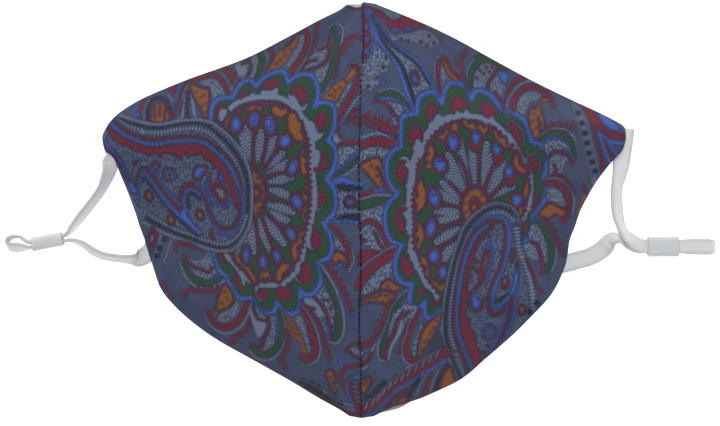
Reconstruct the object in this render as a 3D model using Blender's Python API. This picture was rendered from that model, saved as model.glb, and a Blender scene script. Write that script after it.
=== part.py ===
"""Fitted cloth face mask lying face up: two outer panels joined at a raised centre seam, a lining behind each,
and two flat elastic ear loops, each running through a soft bead."""

import math

import bmesh
import bpy
import numpy as np
from mathutils import Matrix, Vector

for old in list(bpy.data.objects):
    bpy.data.objects.remove(old, do_unlink=True)

MM = 0.001

# Driving sizes. +X is the mask's wide way, +Y runs to the nose end, the table is z = 0.
SEAM_CHORD = 0.129  # nose end to chin end of the centre seam, straight
SEAM_RISE = 0.080  # highest point of the seam above the table
LEFT_REACH = 0.0861  # seam to the widest point of the left side edge, seen from above
RIGHT_REACH = 0.0882
SEAM_X = -0.0009
BOW_SHARE = 0.06  # how far a panel bulges between seam and edge, per its reach
OUTER_CLOTH = 0.0010
LINING_CLOTH = 0.0010
LAYER_GAP = 0.0003
SEAM_GAP = 0.0003
LINING_INSET = 0.012  # share of the chord by which the lining stops short of both ends
LINING_LIFT = 0.0008
COLUMNS = 9  # columns of a panel from seam to edge

BAND_WIDTH = 0.0060
BAND_THICK = 0.0012
BAND_EDGE = 0.0003
BEAD_LENGTH = 0.0104
BEAD_WIDTH = 0.0069
BEAD_HEIGHT = 0.0048
BEAD_ROUND = 0.0018
BORE_WIDTH = 0.0054
BORE_HEIGHT = 0.0035

# Shape of the panels. station and the ridge height are shares of the seam's chord and rise; reach is a share of
# that side's reach, and edge is the height of the panel's free edge as a share of the rise.
PANEL_ROWS = [
    # station, ridge, left reach, left edge, right reach, right edge
    (0.000, 0.600, 0.032, 0.582, 0.038, 0.570),
    (0.015, 0.632, 0.070, 0.553, 0.100, 0.520),
    (0.040, 0.684, 0.145, 0.511, 0.217, 0.439),
    (0.080, 0.757, 0.253, 0.454, 0.361, 0.349),
    (0.130, 0.835, 0.401, 0.364, 0.454, 0.310),
    (0.180, 0.900, 0.548, 0.272, 0.544, 0.265),
    (0.230, 0.945, 0.669, 0.119, 0.635, 0.126),
    (0.270, 0.974, 0.744, 0.000, 0.705, 0.000),
    (0.310, 0.988, 0.783, 0.000, 0.743, 0.008),
    (0.340, 0.993, 0.797, 0.010, 0.761, 0.021),
    (0.365, 0.997, 0.808, 0.018, 0.774, 0.021),
    (0.390, 0.999, 0.820, 0.024, 0.781, 0.021),
    (0.420, 1.000, 0.833, 0.024, 0.788, 0.008),
    (0.460, 1.000, 0.855, 0.020, 0.810, 0.000),
    (0.500, 0.998, 0.876, 0.000, 0.830, 0.000),
    (0.540, 0.995, 0.898, 0.000, 0.860, 0.000),
    (0.580, 0.990, 0.922, 0.008, 0.895, 0.010),
    (0.630, 0.975, 0.954, 0.022, 0.951, 0.025),
    (0.660, 0.964, 0.992, 0.023, 0.989, 0.025),
    (0.690, 0.951, 1.000, 0.021, 1.000, 0.023),
    (0.715, 0.940, 0.985, 0.021, 0.997, 0.021),
    (0.740, 0.925, 0.957, 0.022, 0.940, 0.023),
    (0.780, 0.900, 0.871, 0.038, 0.812, 0.050),
    (0.830, 0.860, 0.678, 0.151, 0.639, 0.170),
    (0.880, 0.811, 0.429, 0.336, 0.484, 0.276),
    (0.930, 0.750, 0.260, 0.455, 0.333, 0.379),
    (0.965, 0.698, 0.149, 0.530, 0.205, 0.471),
    (0.990, 0.658, 0.062, 0.590, 0.096, 0.552),
    (1.000, 0.640, 0.034, 0.617, 0.050, 0.592),
]
RESTING_EDGE = 0.05  # edges lower than this share of the rise lie flat on what is under them


def smooth_column(column):
    """A column of PANEL_ROWS as a function of the station, without overshoot."""
    xs = np.array([row[0] for row in PANEL_ROWS])
    ys = np.array([row[column] for row in PANEL_ROWS])
    steps = np.diff(xs)
    slopes = np.diff(ys) / steps
    tangents = np.zeros(len(xs))
    for i in range(1, len(xs) - 1):
        if slopes[i - 1] * slopes[i] > 0:
            before = 2 * steps[i] + steps[i - 1]
            after = steps[i] + 2 * steps[i - 1]
            tangents[i] = (before + after) / (before / slopes[i - 1] + after / slopes[i])
    tangents[0], tangents[-1] = slopes[0], slopes[-1]

    def value(station):
        station = min(max(station, xs[0]), xs[-1])
        i = min(int(np.searchsorted(xs, station, side="right")) - 1, len(xs) - 2)
        u = (station - xs[i]) / steps[i]
        return float(
            (1 + 2 * u) * (1 - u) ** 2 * ys[i]
            + u * (1 - u) ** 2 * steps[i] * tangents[i]
            + u * u * (3 - 2 * u) * ys[i + 1]
            + u * u * (u - 1) * steps[i] * tangents[i + 1]
        )

    return value


RIDGE = smooth_column(1)
SIDES = {
    "left": {"way": -1, "reach": LEFT_REACH, "width": smooth_column(2), "edge": smooth_column(3)},
    "right": {"way": 1, "reach": RIGHT_REACH, "width": smooth_column(4), "edge": smooth_column(5)},
}


def face_point(side, station, share):
    """A point of the outer face: share 0 is the seam, 1 the free edge."""
    reach = side["reach"] * side["width"](station)
    top = SEAM_RISE * RIDGE(station)
    edge = SEAM_RISE * side["edge"](station)
    rise = top + (edge - top) * share + BOW_SHARE * reach * 4 * share * (1 - share)
    return Vector((SEAM_X + side["way"] * reach * share, (station - 0.5) * SEAM_CHORD, rise))


def face_frame(side, station, share):
    """Way from seam to edge and outward normal of the outer face."""
    across = face_point(side, station, share + 1e-3) - face_point(side, station, share - 1e-3)
    low, high = max(station - 2e-3, 0.0), min(station + 2e-3, 1.0)
    along = face_point(side, high, share) - face_point(side, low, share)
    normal = across.cross(along).normalized()
    return across.normalized(), normal if normal.z > 0 else -normal


def layer_point(side, station, share, depth):
    return face_point(side, station, share) - face_frame(side, station, share)[1] * depth


def share_where(side, station, depth, test, start, end):
    """The share between start and end at which the test turns true."""
    if test(layer_point(side, station, start, depth)):
        return start
    for _ in range(40):
        middle = (start + end) / 2
        if test(layer_point(side, station, middle, depth)):
            end = middle
        else:
            start = middle
    return end


def layer_row(side, station, depth, lift):
    """One row of a cloth face from the mitred seam to the free edge, which lies flat where it rests."""
    seam_plane = SEAM_X + side["way"] * SEAM_GAP / 2
    first = share_where(
        side, station, depth, lambda p: side["way"] * (p.x - seam_plane) >= 0, 0.0, 0.9
    )
    last, floor = 1.0, None
    if side["edge"](station) <= RESTING_EDGE:
        floor = SEAM_RISE * side["edge"](station) + lift
        last = share_where(side, station, depth, lambda p: p.z >= floor, 1.0, 0.8)
    row = []
    for k in range(COLUMNS):
        row.append(layer_point(side, station, first + (last - first) * k / (COLUMNS - 1), depth))
    row[0].x = seam_plane
    if floor is not None:
        row[-1].z = floor
    return row


def cloth_layer(name, side, top_depth, bottom_depth, stations, lift, material):
    """A closed layer of cloth between two depths under the outer face."""
    mesh = bmesh.new()
    grids = []
    for depth in (top_depth, bottom_depth):
        grids.append([[mesh.verts.new(p) for p in layer_row(side, s, depth, lift)] for s in stations])
    top, bottom = grids
    rows, columns = len(stations) - 1, COLUMNS - 1
    for i in range(rows):
        for j in range(columns):
            mesh.faces.new((top[i][j], top[i][j + 1], top[i + 1][j + 1], top[i + 1][j]))
            mesh.faces.new((bottom[i][j], bottom[i + 1][j], bottom[i + 1][j + 1], bottom[i][j + 1]))
        for j in (0, columns):
            mesh.faces.new((top[i][j], top[i + 1][j], bottom[i + 1][j], bottom[i][j]))
    for i in (0, rows):
        for j in range(columns):
            mesh.faces.new((top[i][j], top[i][j + 1], bottom[i][j + 1], bottom[i][j]))
    return add_object(name, mesh, material)


def add_object(name, mesh, material):
    bmesh.ops.triangulate(mesh, faces=mesh.faces[:])
    bmesh.ops.recalc_face_normals(mesh, faces=mesh.faces[:])
    data = bpy.data.meshes.new(name)
    mesh.to_mesh(data)
    mesh.free()
    obj = bpy.data.objects.new(name, data)
    bpy.context.scene.collection.objects.link(obj)
    data.materials.append(material)
    return obj


def make_material(name, color, roughness, transmission=0.0):
    material = bpy.data.materials.new(name)
    material.use_nodes = True
    shader = material.node_tree.nodes["Principled BSDF"]
    shader.inputs["Base Color"].default_value = (*color, 1.0)
    shader.inputs["Roughness"].default_value = roughness
    shader.inputs["Transmission Weight"].default_value = transmission
    return material


# Ear loops. Each row is a point on the band's centre line in millimetres, with the way its width runs: aim is the
# compass angle of that way from +X, tilt how far it leans up, and pinch the share of the full width.
def under_edge(side_name, station, inward, height, aim, tilt):
    """A point below the free edge of a panel, a few millimetres in from it."""
    rim = face_point(SIDES[side_name], station, 1.0)
    return (rim.x / MM - SIDES[side_name]["way"] * inward, rim.y / MM, height, aim, tilt, 1.0)


LEFT_LOOP_ROWS = [
    # x, y, z, aim, tilt, pinch
    under_edge("left", 0.708, 3.1, 0.62, 0, 0),
    under_edge("left", 0.682, 3.1, 0.62, 0, 0),
    under_edge("left", 0.658, 2.8, 0.62, 0, 0),
    under_edge("left", 0.645, 2.2, 0.62, 0, -2),
    (-84.3, 16.2, 0.7, -2, -4, 1.0),
    (-85.0, 12.3, 2.4, -6, -48, 1.0),
    (-87.3, 6.9, 3.0, -22, -67, 1.0),
    (-90.6, 2.3, 3.0, -34, -68, 1.0),
    (-93.9, -1.9, 3.0, -40, -68, 1.0),
    (-96.6, -5.3, 3.1, -44, -74, 0.95),
    (-98.2, -7.3, 3.4, -60, -84, 0.85),
    (-99.7, -8.32, 3.45, -76, -90, 0.76),
    (-105.2, -9.40, 3.45, -76, -90, 0.76),
    (-110.7, -10.47, 3.45, -76, -90, 0.76),
    (-112.2, -9.8, 3.2, -60, -90, 0.88),
    (-114.0, -8.7, 3.0, -80, -90, 1.0),
    (-116.4, -8.5, 3.0, -90, -90, 1.0),
    (-118.0, -9.5, 3.0, -90, -90, 1.0),
    (-118.5, -11.0, 3.0, -90, -90, 1.0),
    (-117.6, -12.3, 3.0, -90, -90, 1.0),
    (-115.2, -12.8, 3.0, -90, -90, 1.0),
    (-112.6, -12.5, 3.1, -80, -90, 0.88),
    (-110.4, -12.07, 3.45, -76, -90, 0.76),
    (-104.9, -11.00, 3.45, -76, -90, 0.76),
    (-99.4, -9.94, 3.45, -80, -90, 0.76),
    (-97.1, -9.8, 3.4, -86, -84, 0.85),
    (-95.0, -10.3, 3.2, -110, -76, 0.95),
    (-92.7, -11.4, 3.1, -122, -70, 1.0),
    (-90.0, -13.4, 3.0, -120, -67, 1.0),
    (-86.3, -15.0, 3.0, -105, -67, 1.0),
    (-81.0, -15.8, 3.0, -94, -68, 1.0),
    (-76.8, -16.1, 2.8, -84, -60, 1.0),
    (-74.4, -15.6, 1.5, -60, -20, 1.0),
    under_edge("left", 0.394, 0.2, 0.62, -30, 0),
    under_edge("left", 0.414, 2.4, 0.62, -10, 0),
    under_edge("left", 0.432, 3.0, 0.62, 0, 0),
    under_edge("left", 0.452, 3.1, 0.62, 0, 0),
]

RIGHT_LOOP_ROWS = [
    # x, y, z, aim, tilt, pinch
    (87.6, 27.6, 0.62, 180, 0, 1.0),
    (87.2, 24.5, 0.62, 180, 0, 1.0),
    (86.7, 21.0, 0.62, 180, 0, 1.0),
    (86.3, 18.2, 0.62, 181, 0, 1.0),
    (85.9, 15.6, 1.1, 183, 12, 1.0),
    (85.4, 13.0, 2.0, 184, 32, 1.0),
    (84.3, 7.9, 2.9, 182, 58, 1.0),
    (84.2, 2.6, 3.0, 181, 60, 1.0),
    (84.7, -1.7, 3.0, 192, 60, 1.0),
    (85.6, -5.0, 3.1, 206, 58, 1.0),
    (86.8, -7.4, 3.6, 228, 54, 0.95),
    (88.4, -9.2, 4.0, 246, 40, 0.9),
    (90.7, -11.0, 3.55, 262, 14, 0.82),
    (93.7, -11.85, 3.15, 270, 0, 0.76),
    (99.7, -11.85, 3.15, 270, 0, 0.76),
    (105.5, -11.85, 3.15, 270, 0, 0.76),
    (107.6, -11.87, 3.45, 270, 0, 0.84),
    (110.3, -11.9, 3.55, 270, 0, 0.88),
    (114.6, -11.9, 3.5, 270, 0, 0.90),
    (116.0, -11.9, 3.0, 270, 0, 0.90),
    (116.6, -11.9, 2.1, 270, 0, 0.90),
    (116.0, -11.9, 1.2, 270, 0, 0.90),
    (114.6, -11.9, 0.75, 270, 0, 0.90),
    (110.3, -11.9, 0.75, 270, 0, 0.88),
    (107.6, -11.87, 1.1, 270, 0, 0.84),
    (105.5, -11.85, 1.6, 270, 0, 0.76),
    (99.7, -11.85, 1.6, 270, 0, 0.76),
    (93.9, -11.85, 1.6, 270, 0, 0.76),
    (90.8, -11.6, 1.65, 268, 14, 0.82),
    (87.8, -10.4, 2.3, 256, 40, 0.9),
    (85.3, -9.1, 2.9, 262, 62, 0.95),
    (83.2, -9.3, 2.6, 288, 48, 1.0),
    (81.6, -10.7, 1.4, 312, 22, 1.0),
    (79.6, -12.9, 0.7, 308, 4, 1.0),
    (75.6, -15.2, 0.62, 292, 0, 1.0),
    (71.2, -16.5, 0.62, 288, 0, 1.0),
    (67.6, -17.5, 0.62, 284, 0, 1.0),
    under_edge("right", 0.360, 3.0, 0.62, 276, 0),
    under_edge("right", 0.360, 6.5, 0.62, 272, 0),
]


def band_rings(rows):
    """Rings of a flat elastic band along a smooth line through the rows."""
    knots = [np.array(row, float) for row in rows]
    knots = [2 * knots[0] - knots[1]] + knots + [2 * knots[-1] - knots[-2]]
    centres = []
    for i in range(1, len(knots) - 2):
        before, start, end, after = knots[i - 1 : i + 3]
        gaps = [max(np.linalg.norm(b[:3] - a[:3]), 1e-6) ** 0.5 for a, b in ((before, start), (start, end), (end, after))]
        leave = (start - before) / gaps[0] - (end - before) / (gaps[0] + gaps[1]) + (end - start) / gaps[1]
        reach = (end - start) / gaps[1] - (after - start) / (gaps[1] + gaps[2]) + (after - end) / gaps[2]
        steps = max(1, math.ceil(np.linalg.norm(end[:3] - start[:3]) / 1.9))
        for k in range(steps):
            u = k / steps
            point = (
                (2 * u**3 - 3 * u**2 + 1) * start
                + (u**3 - 2 * u**2 + u) * leave * gaps[1]
                + (3 * u**2 - 2 * u**3) * end
                + (u**3 - u**2) * reach * gaps[1]
            )
            point[3:] = start[3:] + (end[3:] - start[3:]) * (3 * u**2 - 2 * u**3)
            centres.append(point)
    centres.append(knots[-2])
    rings = []
    for i, row in enumerate(centres):
        point = Vector(row[:3]) * MM
        ahead = Vector(centres[min(i + 1, len(centres) - 1)][:3])
        way = (ahead - Vector(centres[max(i - 1, 0)][:3])).normalized()
        aim, tilt = math.radians(row[3]), math.radians(row[4])
        wide = Vector((math.cos(aim) * math.cos(tilt), math.sin(aim) * math.cos(tilt), math.sin(tilt)))
        wide = (wide - way * wide.dot(way)).normalized()
        thick = way.cross(wide)
        half, deep, edge = BAND_WIDTH * row[5] / 2, BAND_THICK / 2, BAND_EDGE
        point.z = max(point.z, half * abs(wide.z) + deep * abs(thick.z))
        outline = [(half, edge), (half - edge, deep), (edge - half, deep), (-half, edge)]
        outline += [(-a, -b) for a, b in outline]
        rings.append([point + wide * a + thick * (b if abs(b) == deep else math.copysign(deep - edge, b)) for a, b in outline])
    return rings


def loft(rings, mesh, closed=True):
    """Joins rings of points into one skin, with both ends closed where asked."""
    loops = [[mesh.verts.new(p) for p in ring] for ring in rings]
    count = len(loops[0])
    for low, high in zip(loops, loops[1:]):
        for k in range(count):
            mesh.faces.new((low[k], low[(k + 1) % count], high[(k + 1) % count], high[k]))
    if closed:
        mesh.faces.new(loops[0])
        mesh.faces.new(loops[-1])
    return loops


def ear_loop(name, rows, material):
    mesh = bmesh.new()
    loft(band_rings(rows), mesh)
    return add_object(name, mesh, material)


def rounded_outline(width, height, corner, along):
    """A rounded rectangle around the bead's long way, in the plane x = along."""
    outline = []
    for quarter, (ys, zs) in enumerate(((1, 1), (-1, 1), (-1, -1), (1, -1))):
        for k in range(5):
            angle = math.radians(90 * quarter + 22.5 * k)
            y = ys * (width / 2 - corner) + corner * math.cos(angle)
            z = zs * (height / 2 - corner) + corner * math.sin(angle)
            outline.append(Vector((along, y, z)))
    return outline


BEADS = {
    # centre, heading of the long way and roll about it, in degrees; a roll of 90 stands it on its narrow side
    "toggle_left": {"centre": (-0.10505, -0.0102, BEAD_WIDTH / 2), "heading": 11.0, "roll": 90.0},
    "toggle_right": {"centre": (0.0997, -0.01185, BEAD_HEIGHT / 2), "heading": 0.0, "roll": 0.0},
}


def toggle(name, material):
    """A soft bead with a slot right through it for both strands of the band."""
    mesh = bmesh.new()
    half = BEAD_LENGTH / 2
    ends = ((half, 0.0004), (half - 0.0003, 0.0001), (half - 0.0009, 0.0))
    shell = [
        rounded_outline(BEAD_WIDTH - 2 * cut, BEAD_HEIGHT - 2 * cut, BEAD_ROUND - cut, along)
        for along, cut in [(-x, c) for x, c in ends] + [(x, c) for x, c in reversed(ends)]
    ]
    bore = [rounded_outline(BORE_WIDTH, BORE_HEIGHT, 0.0008, along) for along in (-half, half)]
    outside = loft(shell, mesh, closed=False)
    inside = loft(bore, mesh, closed=False)
    for outer, inner in ((outside[0], inside[0]), (outside[-1], inside[-1])):
        for k in range(len(outer)):
            after = (k + 1) % len(outer)
            mesh.faces.new((outer[k], outer[after], inner[after], inner[k]))
    place = BEADS[name]
    turn = Matrix.Rotation(math.radians(place["heading"]), 4, "Z") @ Matrix.Rotation(math.radians(place["roll"]), 4, "X")
    mesh.transform(Matrix.Translation(place["centre"]) @ turn)
    return add_object(name, mesh, material)


PRINTED_COTTON = make_material("printed_cotton", (0.070, 0.085, 0.170), 0.85)
LINING_COTTON = make_material("lining_cotton", (0.680, 0.600, 0.500), 0.90)
WHITE_ELASTIC = make_material("white_elastic", (0.780, 0.780, 0.790), 0.75)
SOFT_PLASTIC = make_material("soft_plastic", (0.740, 0.750, 0.790), 0.40, 0.3)

STATIONS = [row[0] for row in PANEL_ROWS]
LINING_STATIONS = sorted({min(max(s, LINING_INSET), 1 - LINING_INSET) for s in STATIONS})
INNER_DEPTH = OUTER_CLOTH + LAYER_GAP
for which in ("left", "right"):
    cloth_layer(f"outer_panel_{which}", SIDES[which], 0.0, OUTER_CLOTH, STATIONS, 0.0, PRINTED_COTTON)
    cloth_layer(
        f"lining_{which}", SIDES[which], INNER_DEPTH, INNER_DEPTH + LINING_CLOTH, LINING_STATIONS, LINING_LIFT, LINING_COTTON
    )
ear_loop("ear_loop_left", LEFT_LOOP_ROWS, WHITE_ELASTIC)
ear_loop("ear_loop_right", RIGHT_LOOP_ROWS, WHITE_ELASTIC)
toggle("toggle_left", SOFT_PLASTIC)
toggle("toggle_right", SOFT_PLASTIC)
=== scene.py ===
import math

import bmesh
import bpy
import numpy as np
from mathutils import Matrix, Vector


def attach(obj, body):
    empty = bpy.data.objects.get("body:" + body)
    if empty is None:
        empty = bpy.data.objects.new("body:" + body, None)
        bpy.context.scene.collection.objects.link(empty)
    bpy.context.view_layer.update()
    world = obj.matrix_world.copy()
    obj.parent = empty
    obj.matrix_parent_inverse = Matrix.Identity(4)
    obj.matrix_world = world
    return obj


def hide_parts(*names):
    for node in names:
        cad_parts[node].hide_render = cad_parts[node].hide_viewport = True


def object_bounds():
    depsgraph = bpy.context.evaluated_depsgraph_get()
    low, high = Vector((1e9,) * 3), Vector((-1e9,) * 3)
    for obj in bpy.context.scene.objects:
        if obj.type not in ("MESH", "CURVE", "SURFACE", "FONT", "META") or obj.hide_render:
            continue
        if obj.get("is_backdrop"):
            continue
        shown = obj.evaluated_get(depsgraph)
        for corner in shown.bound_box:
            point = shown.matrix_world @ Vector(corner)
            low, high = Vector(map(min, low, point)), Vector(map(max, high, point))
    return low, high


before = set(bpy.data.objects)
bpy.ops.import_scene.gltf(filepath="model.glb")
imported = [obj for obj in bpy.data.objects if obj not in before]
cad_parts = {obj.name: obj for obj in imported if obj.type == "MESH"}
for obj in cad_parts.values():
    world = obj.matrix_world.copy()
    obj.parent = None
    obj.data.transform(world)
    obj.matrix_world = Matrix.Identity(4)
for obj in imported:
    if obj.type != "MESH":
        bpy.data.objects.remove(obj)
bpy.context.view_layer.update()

mm = 0.001

# camera, straight above, as the photograph looks on the mask
view = {
    "x": -0.00117, "y": -0.0007, "height": 0.70,  # in metres
    "focal": 2096.0, "middle": (360.0, 213.0), "wide": 720.0,  # in the photograph's pixels
    "sensor": 36.0, "near": 0.02,  # in millimetres, and the nearest that it sees, in metres
}
camera = bpy.data.objects.new("camera", bpy.data.cameras.new("camera"))
camera.data.sensor_width = view["sensor"]
camera.data.lens = view["sensor"] * view["focal"] / view["wide"]
camera.data.clip_start = view["near"]
camera.location = (view["x"], view["y"], view["height"])
bpy.context.scene.collection.objects.link(camera)
bpy.context.scene.camera = camera
bpy.context.scene.view_settings.view_transform = "Standard"
print("camera ready")

# shape of the two panels: the table of the solids, and edges and a seam drawn closer to the photograph
panel = {
    "seamChord": 0.129, "seamRise": 0.080, "seamX": -0.0009, "bow": 0.06,
    "leftReach": 0.0861, "rightReach": 0.0882,
    "rows": 330,  # mesh rows from chin end to nose end
    "columns": 262,  # and columns from seam to free edge
    "roll": 0.00055,  # radius of the turned edge
    "turns": [25, 50, 75, 100, 125, 150, 180],  # degrees round it
    "turnIn": 0.0022,  # cloth that goes on under the edge
    "allowance": (0.0014, 0.0007),  # depths of the cloth sewn in at the seam
    "clear": 0.00004,  # gap to the table
    "seamDip": 0.00035, "seamDipWide": 0.00045,
    # station and how far the seam wanders to the right, in millimetres
    "seamWave": [
        (0.0, 0.0), (0.13, 0.0), (0.19, -0.3), (0.25, -0.55), (0.30, -0.3), (0.36, 0.0), (0.42, 0.0),
        (0.48, -0.3), (0.54, -0.6), (0.60, -0.6), (0.65, -0.35), (0.77, -0.2), (0.83, 0.3), (0.89, 0.8),
        (0.955, 0.9), (1.0, 0.6),
    ],
    "soften": 3,  # passes that round off the corners of the outline
    # station and how far the print stops short of the outline, so that the lining shows, in millimetres
    "trim": {
        "left": [(0.0, 0.0), (1.0, 0.0)],
        "right": [(0.0, 0.0), (0.008, 0.8), (0.018, 2.3), (0.024, 1.9), (0.031, 0.2), (0.038, -0.7),
                  (0.06, 0.0), (1.0, 0.0)],
    },
    "noseTrim": {"left": 2.1, "right": 0.0},  # the same at the nose, in millimetres
    "noseTrimWide": (0.003, 0.0082),  # and where it fades, out from the seam
    "chinPoint": {"left": 1.2, "right": 0.8},  # lifts the chin's corners, in millimetres
    "chinWide": 0.0032,  # but not at the seam itself
    # where each change sets in or ends, as shares and stations, and for the dents in metres from an edge
    "fades": {"trim": (0.5, 1.0), "nose": (0.90, 1.0), "chin": (0.0, 0.03), "dents": (0.0, 0.012)},
}
panelRows = np.array([
    # station, ridge, left reach, left edge, right reach, right edge
    (0.000, 0.600, 0.032, 0.582, 0.038, 0.570),
    (0.015, 0.632, 0.070, 0.553, 0.100, 0.520),
    (0.040, 0.684, 0.145, 0.511, 0.217, 0.439),
    (0.080, 0.757, 0.253, 0.454, 0.361, 0.349),
    (0.130, 0.835, 0.401, 0.364, 0.454, 0.310),
    (0.180, 0.900, 0.548, 0.272, 0.544, 0.265),
    (0.230, 0.945, 0.669, 0.119, 0.635, 0.126),
    (0.270, 0.974, 0.744, 0.000, 0.705, 0.000),
    (0.310, 0.988, 0.783, 0.000, 0.743, 0.008),
    (0.340, 0.993, 0.797, 0.010, 0.761, 0.021),
    (0.365, 0.997, 0.808, 0.018, 0.774, 0.021),
    (0.390, 0.999, 0.820, 0.024, 0.781, 0.021),
    (0.420, 1.000, 0.833, 0.024, 0.788, 0.008),
    (0.460, 1.000, 0.855, 0.020, 0.810, 0.000),
    (0.500, 0.998, 0.876, 0.000, 0.830, 0.000),
    (0.540, 0.995, 0.898, 0.000, 0.860, 0.000),
    (0.580, 0.990, 0.922, 0.008, 0.895, 0.010),
    (0.630, 0.975, 0.954, 0.022, 0.951, 0.025),
    (0.660, 0.964, 0.992, 0.023, 0.989, 0.025),
    (0.690, 0.951, 1.000, 0.021, 1.000, 0.023),
    (0.715, 0.940, 0.985, 0.021, 0.997, 0.021),
    (0.740, 0.925, 0.957, 0.022, 0.940, 0.023),
    (0.780, 0.900, 0.871, 0.038, 0.812, 0.050),
    (0.830, 0.860, 0.678, 0.151, 0.639, 0.170),
    (0.880, 0.811, 0.429, 0.336, 0.484, 0.276),
    (0.930, 0.750, 0.260, 0.455, 0.333, 0.379),
    (0.965, 0.698, 0.149, 0.530, 0.205, 0.471),
    (0.990, 0.658, 0.062, 0.590, 0.096, 0.552),
    (1.000, 0.640, 0.034, 0.617, 0.050, 0.592),
])


def smoothColumn(column, station):
    xs, ys = panelRows[:, 0], panelRows[:, column]
    steps, slopes = np.diff(xs), np.diff(ys) / np.diff(xs)
    tangents = np.zeros(len(xs))
    for i in range(1, len(xs) - 1):
        if slopes[i - 1] * slopes[i] > 0:
            before, after = 2 * steps[i] + steps[i - 1], steps[i] + 2 * steps[i - 1]
            tangents[i] = (before + after) / (before / slopes[i - 1] + after / slopes[i])
    tangents[0], tangents[-1] = slopes[0], slopes[-1]
    station = np.clip(station, 0.0, 1.0)
    i = np.clip(np.searchsorted(xs, station, side="right") - 1, 0, len(xs) - 2)
    u = (station - xs[i]) / steps[i]
    return (
        (1 + 2 * u) * (1 - u) ** 2 * ys[i] + u * (1 - u) ** 2 * steps[i] * tangents[i]
        + u * u * (3 - 2 * u) * ys[i + 1] + u * u * (u - 1) * steps[i] * tangents[i + 1]
    )


sides = {
    "left": {"way": -1, "reach": panel["leftReach"], "columns": (2, 3)},
    "right": {"way": 1, "reach": panel["rightReach"], "columns": (4, 5)},
}


def seamLine(station):
    return panel["seamX"] + np.interp(station, *np.array(panel["seamWave"]).T) * mm


def facePoint(side, station, share):
    # points of the outer face for arrays of station and share
    width, edge = side["columns"]
    reach = side["reach"] * smoothColumn(width, station)
    top, low = panel["seamRise"] * smoothColumn(1, station), panel["seamRise"] * smoothColumn(edge, station)
    rise = top + (low - top) * share + panel["bow"] * reach * 4 * share * (1 - share)
    x = seamLine(station) * (1 - share) + panel["seamX"] * share + side["way"] * reach * share
    return np.stack([x, (station - 0.5) * panel["seamChord"] + 0 * share, rise], axis=-1)


def unit(vectors):
    return vectors / np.maximum(np.linalg.norm(vectors, axis=-1, keepdims=True), 1e-12)


def gridFrame(points):
    # ways along the rows and columns of a grid of points, and the outward normal
    across, along = np.gradient(points, axis=1), np.gradient(points, axis=0)
    normal = np.cross(across, along)
    normal *= np.where(normal[..., 2:] < 0, -1, 1)
    return unit(across), unit(along), unit(normal)


def gridMesh(name, points, material, closed=False):
    # a sheet of quads through a grid of points; closed joins the last column to the first
    rows, columns = points.shape[:2]
    index = np.arange(rows * columns).reshape(rows, columns)
    if closed:
        index = np.concatenate([index, index[:, :1]], axis=1)
    quads = np.stack([index[:-1, :-1], index[:-1, 1:], index[1:, 1:], index[1:, :-1]], axis=-1)
    quads = quads.reshape(-1, 4)
    data = bpy.data.meshes.new(name)
    data.from_pydata(points.reshape(-1, 3).tolist(), [], quads.tolist())
    data.polygons.foreach_set("use_smooth", np.ones(len(quads), bool))
    data.materials.append(material)
    data.update()
    obj = bpy.data.objects.new(name, data)
    bpy.context.scene.collection.objects.link(obj)
    return obj


def faceOutward(obj, flip):
    if flip:
        mesh = bmesh.new()
        mesh.from_mesh(obj.data)
        bmesh.ops.reverse_faces(mesh, faces=mesh.faces[:])
        mesh.to_mesh(obj.data)
        mesh.free()


def addAttribute(obj, name, values, kind="FLOAT"):
    made = obj.data.attributes.new(name, kind, "POINT")
    made.data.foreach_set("value" if kind == "FLOAT" else "vector", np.asarray(values, np.float32).ravel())


# shader maths
class Signal:  # one socket of a shader, so that maths on it reads as Python
    def __init__(self, shader, socket):
        self.shader, self.socket = shader, socket

    def maths(self, operation, *others, clamp=False):
        settings = {"operation": operation, "use_clamp": clamp}
        return self.shader.node("ShaderNodeMath", settings, dict(enumerate((self,) + others)))

    def __add__(self, other):
        return self.maths("ADD", other)

    def __radd__(self, other):
        return self.maths("ADD", other)

    def __sub__(self, other):
        return self.maths("SUBTRACT", other)

    def __rsub__(self, other):
        return self.shader.node("ShaderNodeMath", {"operation": "SUBTRACT"}, {0: other, 1: self})

    def __mul__(self, other):
        return self.maths("MULTIPLY", other)

    def __rmul__(self, other):
        return self.maths("MULTIPLY", other)

    def __truediv__(self, other):
        return self.maths("DIVIDE", other)

    def __abs__(self):
        return self.maths("ABSOLUTE")

    def clamped(self):
        return self.maths("ADD", 0.0, clamp=True)

    def least(self, other):
        return self.maths("MINIMUM", other)

    def most(self, other):
        return self.maths("MAXIMUM", other)

    def fraction(self):
        return self.maths("FRACT")

    def sine(self):
        return self.maths("SINE")


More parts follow.
